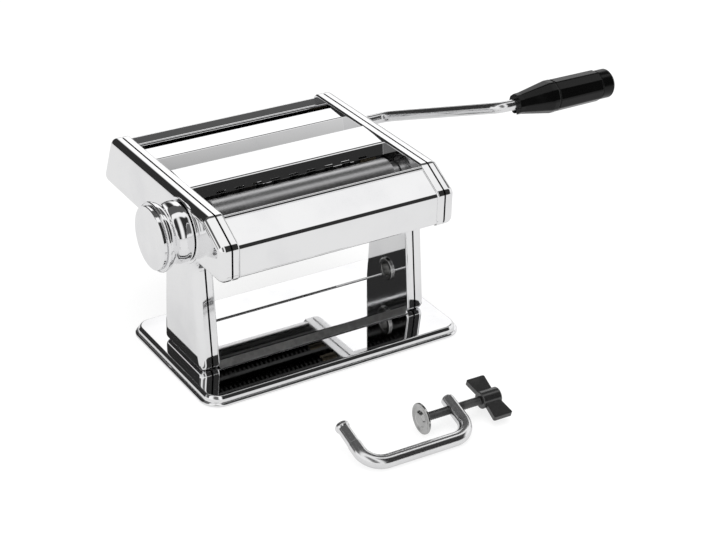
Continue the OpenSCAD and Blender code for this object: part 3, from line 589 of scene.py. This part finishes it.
oiled_gear_steel = machined("oiled_gear_steel", (0.2, 0.19, 0.18), (0.42, 0.42, 0.42), 0.3)
bush_bronze = machined("bush_bronze", (0.05, 0.042, 0.03), (0.1, 0.085, 0.06), 0.4)
blackened_screw_steel = machined("blackened_screw_steel", (0.05, 0.05, 0.05), (0.12, 0.12, 0.12), 0.28)
grip_black = moulded("grip_black", (0.002, 0.002, 0.002), (0.004, 0.004, 0.004), 0.16, 900, 0.2)
wing_black = moulded("wing_black", (0.016, 0.016, 0.016), (0.05, 0.05, 0.05), 0.18, 1500, 1.0)
strip_rubber = rubber_finish()

SLOT_FINISH = {
    "chromed_steel": plate_chrome,
    "polished_steel": cutter_steel,
    "zinc_plated_steel": zinc_plate,
    "gear_steel": oiled_gear_steel,
    "bearing_bronze": bush_bronze,
    "gloss_black_plastic": grip_black,
    "satin_black_plastic": wing_black,
    "blackened_steel": blackened_screw_steel,
    "black_rubber": strip_rubber,
}


# Base

base_outline = rounded(
    [
        (-BASE_W / 2, -BASE_D / 2, BASE_CORNER_R),
        (BASE_W / 2, -BASE_D / 2, BASE_CORNER_R),
        (BASE_W / 2, BASE_D / 2, BASE_CORNER_R),
        (-BASE_W / 2, BASE_D / 2, BASE_CORNER_R),
    ],
    steps=28,
)
base_rim = rounded(
    [
        (RIM_LIFT, 0.4, 0),
        (RIM_LIFT + 0.3, 0, 0.3),
        (BEAD_Z - 0.3, 0, 0.7),
        (BEAD_Z + 0.4, 0.9, 0.4),
        (BEAD_Z + 0.5, 1.9, 0.4),
        (BASE_H - 2.0, 2.3, 1.0),
        (BASE_H, BASE_SLOPE + 0.1, 1.5),
        (BASE_H, BASE_SLOPE + 1.6, 0),
    ],
    steps=6,
    closed=False,
)
base_inside = [
    (BASE_H - BASE_SHEET, BASE_SLOPE + 1.6),
    (BASE_H - BASE_SHEET, BASE_SLOPE + 0.8),
    (BASE_H - 2.2, 3.3),
    (BEAD_Z + 0.4, 3.0),
    (RIM_LIFT, 1.3),
]
piece(
    "base_plate",
    [shell(base_outline, [tuple(p) for p in base_rim], base_inside, lambda p, z: Vector((p.x, p.y, z)))],
    base_chrome,
    "housing",
)

FLOOR_RISE = 2.8
floor_outline = rounded(
    [
        (FOOT_FRONT, BASE_H + 0.02, 0.1),
        (FOOT_BACK, BASE_H + 0.02, 0.1),
        (FOOT_BACK - 1.6, BASE_H + FLOOR_RISE + 1.1, 0.4),
        (FOOT_BACK - 2.6, BASE_H + FLOOR_RISE + 1.1, 0.4),
        (FOOT_BACK - 3, BASE_H + FLOOR_RISE, 0.6),
        (FOOT_FRONT + 7.6, BASE_H + FLOOR_RISE, 4),
        (FOOT_FRONT, BASE_H + 0.6, 0.3),
    ],
    steps=6,
)
piece("floor_plate", [extruded(floor_outline, -FRAME_IN, FRAME_IN)], plate_chrome, "housing")


# Sides

side_outline = rounded(
    [
        (FOOT_FRONT, BASE_H, FOOT_CORNER_R),
        (FOOT_BACK, BASE_H, FOOT_CORNER_R),
        (LEG_BACK, BODY_BOTTOM, LEG_BACK_FILLET),
        (LOW_BACK, BODY_BOTTOM + 1.2, BODY_CORNER_R),
        (TOP_BACK, BODY_TOP, BODY_CORNER_R),
        (TOP_FRONT, BODY_TOP, BODY_CORNER_R),
        (BODY_FRONT, SLOPE_Z, BODY_CORNER_R),
        (BODY_FRONT, BODY_BOTTOM, BODY_CORNER_R),
        (LEG_FRONT, BODY_BOTTOM, LEG_FILLET),
    ],
    steps=16,
)


def pressed_pan(rim, face, edge_r):
    """Side shell from its open rim at one X to its face at another."""
    depth = abs(face - rim)
    way = 1 if face > rim else -1
    inner_r = max(edge_r - SIDE_SHEET, 0.4)
    steps = 8
    outer, inner = [(0, 0)], []
    for i in range(steps + 1):
        angle = math.pi / 2 * i / steps
        outer.append((depth - edge_r + edge_r * math.sin(angle), edge_r * (1 - math.cos(angle))))
        rise = math.pi / 2 - angle
        height = depth - SIDE_SHEET - inner_r + inner_r * math.sin(rise)
        inner.append((height, SIDE_SHEET + inner_r * (1 - math.cos(rise))))
    inner.append((0, SIDE_SHEET))
    return shell(side_outline, outer, inner, lambda p, h: Vector((rim + way * h, p.x, p.y)))


def frame_holes(side):
    low, high = sorted((side * (FRAME_IN - 1), side * FRAME_RIM))
    axes = [(DRIVE_AXIS, DRIVE_BUSH_SEAT_R)]
    axes += [(axis, BUSH_SEAT_R) for axis in WIDE_AXES + NARROW_AXES]
    axes += [(axis, TIE_HOLE_R) for axis in TIE_AXES]
    if side < 0:
        axes += [(DIAL_AXIS, BUSH_SEAT_R)]
    else:
        axes += [(DIAL_AXIS, ROLLER_NECK_HOLE_R), (SOCKET_AXIS, SOCKET_HOLE_R)]
    return [disc_bar(axis, radius, low, high, 48) for axis, radius in axes]


def cover_holes(side):
    low, high = sorted((side * COVER_RIM, side * (COVER_OUT + 1)))
    if side < 0:
        axes = [(DIAL_AXIS, DIAL_SHAFT_HOLE_R)]
    else:
        axes = [(axis, CRANK_HOLE_R) for axis in (DRIVE_AXIS, WIDE_AXES[0], NARROW_AXES[0])]
        axes += [(SOCKET_AXIS, SOCKET_HOLE_R)]
    return [disc_bar(axis, radius, low, high) for axis, radius in axes]


# The insides of the frames and covers are lined with the near-black painted shade finish.
for side, word in ((-1, "left"), (1, "right")):
    piece(
        word + "_inner_frame",
        [pressed_pan(side * FRAME_RIM, side * FRAME_IN, FRAME_EDGE_R)],
        cover_chrome,
        "housing",
        cuts=frame_holes(side),
        lining=painted_shade_inside,
    )
    piece(
        word + "_outer_cover",
        [pressed_pan(side * COVER_RIM, side * COVER_OUT, COVER_EDGE_R)],
        cover_chrome,
        "housing",
        cuts=cover_holes(side),
        lining=painted_shade_inside,
    )
piece(
    "clamp_socket",
    [
        lathe(
            rounded(
                [
                    (FRAME_IN - SOCKET_FLANGE, SOCKET_BORE_R, 0.3),
                    (COVER_OUT + 0.6, SOCKET_BORE_R, 0.25),
                    (COVER_OUT + 0.6, SOCKET_WALL_R, 0.3),
                    (FRAME_IN, SOCKET_WALL_R, 0.2),
                    (FRAME_IN, SOCKET_WALL_R + SOCKET_FLANGE, 0.3),
                    (FRAME_IN - SOCKET_FLANGE, SOCKET_WALL_R + SOCKET_FLANGE, 0.6),
                ],
                steps=4,
            ),
            at_axis(SOCKET_AXIS),
            closed=True,
        )
    ],
    pad_plating,
    "housing",
)


# Plates between the sides


def hemmed(path):
    """Outline of a sheet whose first end is rolled into a round hem."""
    half = PLATE_SHEET / 2
    left, right = moved(path, half, False), moved(path, -half, False)
    along = path[1] - path[0]
    start = math.degrees(math.atan2(along.y, along.x))
    spread = math.degrees(math.asin(half / HEM_R))
    steps = 24
    roll = [path[0] + polar(HEM_R, start + spread + (360 - 2 * spread) * i / steps) for i in range(steps + 1)]
    return left[:0:-1] + roll + right[1:]


def plain_sheet(path):
    half = PLATE_SHEET / 2
    return moved(path, half, False) + moved(path, -half, False)[::-1]


def back_y(z):
    return TOP_BACK + (LOW_BACK - TOP_BACK) * (BODY_TOP - z) / (BODY_TOP - BODY_BOTTOM - 1.2)


BEND_STEPS = 10
front_hem = Vector((TOP_FRONT - 1.2, BODY_TOP - 2.9))
front_y = BODY_FRONT + PLATE_RECESS
front_slope = Vector((BODY_FRONT - TOP_FRONT, SLOPE_Z - BODY_TOP)).normalized()
front_knee = front_hem + front_slope * (front_hem.x - front_y) / -front_slope.x
front_foot = BODY_BOTTOM + 2.4
front_path = rounded(
    [
        (*front_hem, 0),
        (*front_knee, FRONT_BEND_R),
        (front_y, front_foot, PLATE_BEND_R),
        (front_y + 6, front_foot, 0),
    ],
    BEND_STEPS,
    closed=False,
)
ridge_path = rounded(
    [
        (*(Vector(WIDE_AXES[1]) + polar(11.7, 102)), 0),
        (66.8, BODY_TOP - 3.2, PLATE_BEND_R),
        (84.7, BODY_TOP - 2.5, PLATE_BEND_R),
        (*(Vector(NARROW_AXES[0]) + polar(11.9, 72)), 0),
    ],
    BEND_STEPS,
    closed=False,
)
rear_top, rear_foot = BODY_TOP - 3.2, BODY_BOTTOM + 5
rear_path = rounded(
    [
        (100.3, BODY_TOP - 7, 0),
        (back_y(rear_top) - PLATE_RECESS, rear_top, PLATE_BEND_R),
        (back_y(rear_foot) - PLATE_RECESS, rear_foot, 2 * PLATE_BEND_R),
        (LOW_BACK - 12, BODY_BOTTOM + 2.6, 0),
    ],
    BEND_STEPS,
    closed=False,
)
for node, outline in (
    ("front_cover", hemmed(front_path)),
    ("ridge_cover", plain_sheet(ridge_path)),
    ("rear_cover", hemmed(rear_path)),
):
    piece(node, [extruded(outline, -FRAME_IN, FRAME_IN)], plate_chrome, "housing")

guide_end = Vector(GAUGE_AXIS) + polar(ROLLER_R + 1.5 + 0.8, 52)
center_hem = Vector((12.8, BODY_TOP - 2.1))
center_path = rounded(
    [
        (*guide_end, 0),
        (*center_hem, CENTER_BEND_R),
        (41.4, BODY_TOP - 0.4, PLATE_BEND_R),
        (43.6, BODY_TOP - 9, 0),
    ],
    BEND_STEPS,
    closed=False,
)
wall_dir = (center_hem - guide_end).normalized()
tooth_turn = Matrix.Rotation(math.atan2(wall_dir.y, wall_dir.x), 4, "X")
tooth_count = math.floor(2 * ROLLER_END / (2 * GUIDE_TOOTH_W))
tooth_gaps = []
for i in range(tooth_count):
    x = (i - (tooth_count - 1) / 2) * 2 * GUIDE_TOOTH_W
    place = Matrix.Translation((x, guide_end.x, guide_end.y)) @ tooth_turn
    tooth_gaps.append(
        block((-GUIDE_TOOTH_W / 2, -GUIDE_TOOTH_H, -1.6), (GUIDE_TOOTH_W / 2, GUIDE_TOOTH_H, 1.6), place)
    )
piece(
    "center_plate",
    [extruded(plain_sheet(center_path), -FRAME_IN, FRAME_IN)],
    plate_chrome,
    "housing",
    cuts=tooth_gaps,
)


# Gauge roller and dial

piece(
    "gauge_roller",
    [
        lathe(
            rounded(
                [
                    (NECK_START, SLEEVE_BORE_R, 0.2),
                    (NECK_END, SLEEVE_BORE_R, 0.2),
                    (NECK_END, NECK_R, 0.3),
                    (ROLLER_END, NECK_R, 0.2),
                    (ROLLER_END, ROLLER_R, 0.6),
                    (-ROLLER_END, ROLLER_R, 0.6),
                    (-ROLLER_END, NECK_R, 0.2),
                    (NECK_START, NECK_R, 0.3),
                ],
                steps=5,
            ),
            at_axis(GAUGE_AXIS),
            closed=True,
        )
    ],
    roller_steel,
    "gauge_roller",
)

DIAL_SIDES = 144
LIP_R = KNOB_R - 1.0
KNOB_BORE_R = KNOB_R - 5
SEAT = KNOB_LEN - 4.4
KNOB_WAVE = ((1.2, KNOB_R - 2.9), (4.2, KNOB_R - 2.7), (10.2, KNOB_R - 3.6), (SEAT - 2.2, KNOB_R - 0.8))
WAVE_STEPS = 10
knob_outline = rounded(
    [(-0.6, KNOB_BORE_R, 0), (-0.6, KNOB_R - 3.3, 0.4), (0.5, KNOB_R - 3.0, 0.4)],
    steps=5,
    closed=False,
)
for (x0, r0), (x1, r1) in zip(KNOB_WAVE, KNOB_WAVE[1:]):
    for i in range(WAVE_STEPS):
        share = (1 - math.cos(math.pi * i / WAVE_STEPS)) / 2
        knob_outline.append(Vector((x0 + (x1 - x0) * i / WAVE_STEPS, r0 + (r1 - r0) * share)))
knob_outline += rounded(
    [
        (SEAT - 2.2, KNOB_R - 0.8, 0),
        (SEAT - 1.3, KNOB_R - 0.8, 0.3),
        (SEAT - 1.1, KNOB_R, 0.5),
        (SEAT + 0.8, KNOB_R, 0.8),
        (SEAT + 0.8, LIP_R, 0.3),
        (SEAT, LIP_R, 0),
        (SEAT, KNOB_BORE_R, 0),
    ],
    steps=6,
    closed=False,
)
piece(
    "dial_knob",
    [lathe([(KNOB_BACK - p.x, p.y) for p in knob_outline], at_axis(DIAL_AXIS), DIAL_SIDES, closed=True)],
    knob_chrome,
    "dial",
)
FACE_R = LIP_R - 1.2
FACE_EDGE_R = 0.7
DOME = 0.5
face_profile = [(SEAT, 0), (SEAT, LIP_R - 0.05), (SEAT + 0.2, LIP_R - 0.1), (SEAT + 0.3, FACE_R)]
for i in range(9):
    turn = polar(FACE_EDGE_R, 90 * i / 8)
    face_profile.append((KNOB_LEN - DOME - FACE_EDGE_R + turn.y, FACE_R - FACE_EDGE_R + turn.x))
for i in range(1, 33):
    share = 1 - i / 32
    face_profile.append((KNOB_LEN - DOME * share * share, (FACE_R - FACE_EDGE_R) * share))
piece(
    "dial_face",
    [lathe([(KNOB_BACK - x, r) for x, r in face_profile], at_axis(DIAL_AXIS), DIAL_SIDES)],
    knob_chrome,
    "dial",
)
piece(
    "dial_index_ring",
    [
        lathe(
            rounded(
                [
                    (-COVER_OUT, 9, 0),
                    (-COVER_OUT, KNOB_R - 1.2, 0),
                    (-COVER_OUT - 0.8, KNOB_R - 1.2, 0.4),
                    (-COVER_OUT - 0.8, 9, 0.2),
                ],
                steps=5,
            ),
            at_axis(DIAL_AXIS),
            sides=DIAL_SIDES,
            closed=True,
        )
    ],
    knob_chrome,
    "housing",
)


# Crank

crank_corners = [
    (ROD_START, 0),
    (CRANK_BEND_X, 0),
    (CRANK_BEND_X + CRANK_LEAN, CRANK_THROW),
    (BARREL_END + 2, CRANK_THROW),
]
crank_line = rod_stations(crank_corners, CRANK_BEND_R, ROD_R)
tang_outline = [(0, TANG_R), (TANG_LEN - 0.4, TANG_R), (TANG_LEN, TANG_R - 0.4), (TANG_LEN, 0)]
tang_end = turned_end(crank_line[0], tang_outline, False)
rod_tail = turned_end(crank_line[-1], [(0, ROD_R), (0, 0)], True)
flat_cut = block(
    (ROD_START - TANG_LEN - 1, NARROW_AXES[0][0] - 8, NARROW_AXES[0][1] + 1),
    (ROD_START - 0.3, NARROW_AXES[0][0] + 8, NARROW_AXES[0][1] + 8),
)
piece(
    "crank_rod",
    [swept(tang_end + crank_line + rod_tail, CRANK_PLANE)],
    rod_chrome,
    "crank",
    cuts=[flat_cut],
)


def grip_flats(depth):
    """Trim that gives a turned grip its flats."""

    def trim(radius, angle, x):
        step = TAU / GRIP_FLATS
        off = (angle + step / 2) % step - step / 2
        return min(radius, (radius - depth) / math.cos(off)) if radius > ROD_R + 1 else radius

    return trim


GRIP_BORE_R = ROD_R + 0.05
NOSE_R = GRIP_R - 4.2
CAP_R = GRIP_R - 1.2
cone_profile = rounded(
    [
        (GRIP_START, GRIP_BORE_R, 0),
        (GRIP_START, NOSE_R - 0.2, 0.4),
        (GRIP_START + 4, NOSE_R, 1),
        (CONE_END - 5, GRIP_R, 6),
        (CONE_END - 1, GRIP_R, 0.6),
        (CONE_END, GRIP_R - 0.5, 0.2),
        (CONE_END, GRIP_BORE_R, 0),
    ],
    steps=6,
)
barrel_profile = rounded(
    [
        (CONE_END, GRIP_BORE_R, 0),
        (CONE_END, GRIP_R - 0.9, 0),
        (CONE_END + 0.8, GRIP_R - 0.2, 0.4),
        (BARREL_END - 0.8, GRIP_R - 0.4, 0.5),
        (BARREL_END, GRIP_R - 1.2, 0),
        (BARREL_END, GRIP_BORE_R, 0),
    ],
    steps=5,
)
cap_profile = rounded(
    [
        (BARREL_END + 4.6, 0, 0),
        (BARREL_END + 4.6, ROD_R + 2, 0),
        (BARREL_END, ROD_R + 2, 0),
        (BARREL_END, CAP_R - 0.6, 0),
        (BARREL_END + 0.8, CAP_R, 0.4),
        (GRIP_END - 2.2, CAP_R, 1.6),
        (GRIP_END, CAP_R - 2.2, 1.6),
        (GRIP_END, 0, 0),
    ],
    steps=6,
    closed=False,
)
notch_place = GRIP_PLANE @ Matrix.Rotation(math.radians(12), 4, "X")
notch = block((GRIP_START - 1, -1.4, 0), (GRIP_START + 2.6, 1.4, 10), notch_place)
piece(
    "grip_cone",
    [lathe(cone_profile, GRIP_PLANE, 20 * GRIP_FLATS, closed=True, trim=grip_flats(0.35))],
    grip_black,
    "grip",
    cuts=[notch],
)
piece(
    "grip_barrel",
    [lathe(barrel_profile, GRIP_PLANE, 20 * GRIP_FLATS, closed=True, trim=grip_flats(0.4))],
    grip_black,
    "grip",
)
piece(
    "grip_cap",
    [lathe(cap_profile, GRIP_PLANE, 120)],
    grip_black,
    "grip",
)


# Clamp

NECK_AT = 20
BOW_END_R = 2.2
bow_corners = [(0, NECK_AT), (0, 0), (BOW_SPAN, 0), (BOW_SPAN, BOW_SHORT - BOW_END_R)]
bow_line = rod_stations(bow_corners, BOW_BEND_R, BOW_R)
neck = [(0.3, BOW_R - 0.1), (0.6, BOW_R - 0.45), (14.4, BOW_R - 0.45), (15.0, BOW_R), (15.6, BOW_R + 0.3)]
neck += [(17.2, BOW_R + 0.3), (17.9, BOW_R - 0.1), (18.3, BOW_R - 0.8), (18.4, BOW_R - 1.4), (18.4, 0)]
round_end = []
for degrees in range(0, 91, 10):
    turn = math.radians(degrees)
    round_end.append((BOW_END_R * math.sin(turn), BOW_R - BOW_END_R + BOW_END_R * math.cos(turn)))
round_end.append((BOW_END_R, 0))
bow_stations = turned_end(bow_line[0], neck, False) + bow_line + turned_end(bow_line[-1], round_end, True)
bow_bore = [
    (BOW_SPAN - 10, 0),
    (BOW_SPAN - 10, SCREW_HOLE_R),
    (BOW_SPAN + 10, SCREW_HOLE_R),
    (BOW_SPAN + 10, 0),
]
piece(
    "clamp_bow",
    [swept(bow_stations, CLAMP_PLANE)],
    rod_chrome,
    "clamp",
    cuts=[lathe(bow_bore, SCREW_PLANE, 48)],
)


def thread(x0, x1):
    """Screw with a shallow helical thread."""
    steps = math.ceil((x1 - x0) / (SCREW_PITCH / 8))
    profile = [(x0, 0)] + [(x0 + (x1 - x0) * i / steps, SCREW_R) for i in range(steps + 1)] + [(x1, 0)]

    def trim(radius, angle, x):
        if radius == 0 or x in (x0, x1):
            return radius * 0.9
        phase = (x / SCREW_PITCH - angle / TAU) % 1
        return radius - THREAD_DEPTH * abs(2 * phase - 1)

    return lathe(profile, SCREW_PLANE, 48, trim=trim)


piece(
    "clamp_screw",
    [thread(PAD_AT + PAD_T + 0.3, WING_AT + WING_W / 2 - 3)],
    blackened_screw_steel,
    "clamp_screw",
)
pad_profile = rounded(
    [
        (PAD_AT + PAD_T, 0, 0),
        (PAD_AT + PAD_T, PAD_R, 0.3),
        (PAD_AT + 1.2, PAD_R, 0.5),
        (PAD_AT + 0.9, PAD_R - 1.2, 0.5),
        (PAD_AT + 1.7, PAD_R - 3.0, 1.0),
        (PAD_AT + 1.5, 5.8, 0.8),
        (PAD_AT - 0.2, 4.6, 1.2),
        (PAD_AT - 1, 2.2, 1.0),
        (PAD_AT - 1, 0, 0),
    ],
    steps=6,
    closed=False,
)
piece("clamp_pad", [lathe(pad_profile, SCREW_PLANE)], pad_plating, "clamp_pad")

wing_x0, wing_x1 = WING_AT - WING_W / 2, WING_AT + WING_W / 2
wing_outline = rounded(
    [
        (wing_x1, WING_REACH, 1.2),
        (wing_x0, WING_REACH, 1.2),
        (WING_AT - WING_WAIST / 2, 5.5, 3),
        (WING_AT - WING_WAIST / 2, -5.5, 3),
        (wing_x0, -WING_REACH, 1.2),
        (wing_x1, -WING_REACH, 1.2),
        (WING_AT + WING_WAIST / 2, -5.5, 3),
        (WING_AT + WING_WAIST / 2, 5.5, 3),
    ],
    steps=5,
)
wing_hub = lathe(
    rounded(
        [
            (wing_x0, 0, 0),
            (wing_x0, 2 * SCREW_R, 0.8),
            (wing_x1, 2 * SCREW_R, 1.2),
            (wing_x1, 0, 0),
        ],
        steps=5,
        closed=False,
    ),
    SCREW_PLANE,
    sides=64,
)
wing_bore = lathe(
    [(wing_x0 - 1, 0), (wing_x0 - 1, SCREW_HOLE_R), (wing_x1 - 3, SCREW_HOLE_R), (wing_x1 - 3, 0)],
    SCREW_PLANE,
    sides=48,
)
piece(
    "clamp_wing_knob",
    [prism(wing_outline, -WING_T / 2, WING_T / 2, SCREW_PLANE)],
    wing_black,
    "clamp_screw",
    joins=[wing_hub],
    cuts=[wing_bore],
    bevel=0.7,
)


# Finishes of the CAD nodes that stay

slot_of = {row["node"]: row["material_slot"] for row in frame["record"]["subparts"]}
NODE_FINISH = {"drive_roller": roller_steel}
# Tie rods, combs and cutters take the near-black painted shade steel.
for node in ("tie_rods", "tie_rod_nuts"):
    NODE_FINISH[node] = painted_shade_cutter_steel
for width in ("wide", "narrow"):
    for node in ("combs", "drive_cutter", "mate_cutter"):
        NODE_FINISH[f"{width}_{node}"] = painted_shade_cutter_steel
for node, part in frame["nodes"].items():
    finish = NODE_FINISH.get(node, SLOT_FINISH[slot_of[node]])
    part.data.materials.clear()
    part.data.materials.append(finish)


# Studio

PHOTO_EYE = Vector((-544.701, -925.763, 640.017))
PHOTO_AZIMUTH, PHOTO_ELEVATION, PHOTO_ROLL = (math.radians(a) for a in (-32.7626, 28.6925, 1.6060))
PHOTO_LENS = 86.54
SENSOR_W = 36
SKY_LIGHT = 0.8
FLOOR_REACH = 12
FLOOR_GLOW = 0.76
FLOOR_GLOW_DROP = 0.25


def photo_camera():
    """Camera at the photograph's place."""
    back = Vector(
        (
            math.sin(PHOTO_AZIMUTH) * math.cos(PHOTO_ELEVATION),
            -math.cos(PHOTO_AZIMUTH) * math.cos(PHOTO_ELEVATION),
            math.sin(PHOTO_ELEVATION),
        )
    )
    level = Vector((math.cos(PHOTO_AZIMUTH), math.sin(PHOTO_AZIMUTH), 0))
    rise = back.cross(level)
    right = level * math.cos(PHOTO_ROLL) + rise * math.sin(PHOTO_ROLL)
    up = rise * math.cos(PHOTO_ROLL) - level * math.sin(PHOTO_ROLL)
    lens = bpy.data.cameras.new("photo_camera")
    lens.lens = PHOTO_LENS
    lens.sensor_width = SENSOR_W
    lens.sensor_fit = "HORIZONTAL"
    lens.clip_start, lens.clip_end = 0.01, 60
    camera = bpy.data.objects.new("photo_camera", lens)
    camera.matrix_world = Matrix.Translation(PHOTO_EYE * MM) @ Matrix((right, up, back)).transposed().to_4x4()
    bpy.context.scene.collection.objects.link(camera)
    bpy.context.scene.camera = camera


def shown_rays(f):
    """1 on rays that see the studio itself: from the camera, in gloss and through glass."""
    path = "ShaderNodeLightPath"
    seen = f.node(path, output="Is Camera Ray").at_least(f.node(path, output="Is Glossy Ray"))
    return seen.at_least(f.node(path, output="Is Transmission Ray"))


def band(value, middle, half):
    """1 where the value is near the middle, falling to 0 at a distance of half on both sides."""
    soft = half * 0.6
    return (value - (middle - half)).above(0, soft) * ((middle + half) - value).above(0, soft)


def studio_world():
    """White studio, with dark flags that only reflections see.

    A flag is given by the direction in which it stands: x to the right, y to the back, z up.
    """
    world = bpy.data.worlds.new("white_studio")
    bpy.context.scene.world = world
    world.use_nodes = True
    f = Finish(world.node_tree)
    way = f.node("ShaderNodeTexCoord", output="Generated")
    split = "ShaderNodeSeparateXYZ"
    x = f.node(split, values={"Vector": way}, output="X")
    y = f.node(split, values={"Vector": way}, output="Y")
    z = f.node(split, values={"Vector": way}, output="Z")
    forward = (0 - y).above(0.16, 0.28)
    front_flag = forward * z.above(-0.12, -0.02) * x.above(-0.05, 0.1) * (1 - x.above(0.72, 0.84))
    lens_flag = band(x, -0.47, 0.27) * forward * z.above(0.1, 0.2)
    overhead = y / z.at_least(0.05)
    bar_flag = overhead.above(0.07, 0.14) * (1 - overhead.above(0.82, 1.0)) * z.above(0.4, 0.5)
    back_left = y.above(0.35, 0.5) * (1 - x.above(0.2, 0.36)) * z.above(0.0, 0.04) * (1 - z.above(0.75, 0.85))
    back_line = y.above(0.4, 0.6) * z.above(0.0, 0.02) * (1 - z.above(0.1, 0.18))
    dark = front_flag * 0.97
    for flag, depth in ((lens_flag, 0.85), (bar_flag, 0.9), (back_left, 0.97), (back_line, 0.9)):
        dark = dark.at_least(flag * depth)
    panel = y.above(0.5, 0.6) * x.above(0.3, 0.4) * z.above(0.25, 0.35)
    glossy = f.node("ShaderNodeLightPath", output="Is Glossy Ray")
    camera = f.node("ShaderNodeLightPath", output="Is Camera Ray")
    shown = (1 - dark) * (1 + panel * 0.2)
    level = SKY_LIGHT + camera * (1 - SKY_LIGHT) + glossy * (shown - SKY_LIGHT)
    sky = f.node("ShaderNodeBackground", values={"Color": level, "Strength": 1.0})
    out = world.node_tree.nodes.new("ShaderNodeOutputWorld")
    world.node_tree.links.new(sky.output, out.inputs["Surface"])


def white_floor():
    """Plain pale floor that keeps the machine's soft shadow. Reflections see it a little darker."""
    mesh = bpy.data.meshes.new("floor")
    far = FLOOR_REACH
    mesh.from_pydata([(-far, -far, 0), (far, -far, 0), (far, far, 0), (-far, far, 0)], [], [(0, 1, 2, 3)])
    floor = bpy.data.objects.new("floor", mesh)
    bpy.context.scene.collection.objects.link(floor)
    material, f = new_finish("white_floor")
    matt = f.node("ShaderNodeBsdfDiffuse", values={"Color": (0.82, 0.82, 0.82, 1)})
    shade = f.node("ShaderNodeBsdfDiffuse", values={"Color": (0.3, 0.3, 0.3, 1)})
    glossy = f.node("ShaderNodeLightPath", output="Is Glossy Ray")
    brightness = FLOOR_GLOW - glossy * FLOOR_GLOW_DROP
    glow = f.node("ShaderNodeEmission", values={"Color": brightness, "Strength": 1.0})
    lit = f.node("ShaderNodeAddShader", values={0: glow, 1: shade})
    f.node_output(f.node("ShaderNodeMixShader", values={0: shown_rays(f), 1: matt, 2: lit}))
    mesh.materials.append(material)


def softbox(name, place, aim, size, power):
    """Soft lamp that reflections do not show."""
    lamp = bpy.data.lights.new(name, "AREA")
    lamp.shape = "RECTANGLE"
    lamp.size, lamp.size_y = size
    lamp.energy = power
    holder = bpy.data.objects.new(name, lamp)
    holder.location = place
    holder.rotation_euler = (Vector(aim) - Vector(place)).to_track_quat("-Z", "Y").to_euler()
    holder.visible_glossy = False
    bpy.context.scene.collection.objects.link(holder)


photo_camera()
studio_world()
white_floor()
softbox("top_softbox", (0.1, -0.1, 1.6), (0, 0, 0), (1.4, 1.4), 9)
softbox("left_softbox", (-1.4, -0.7, 1.0), (0, 0, 0.08), (1.0, 1.0), 6)

bpy.context.scene.view_settings.view_transform = "Standard"
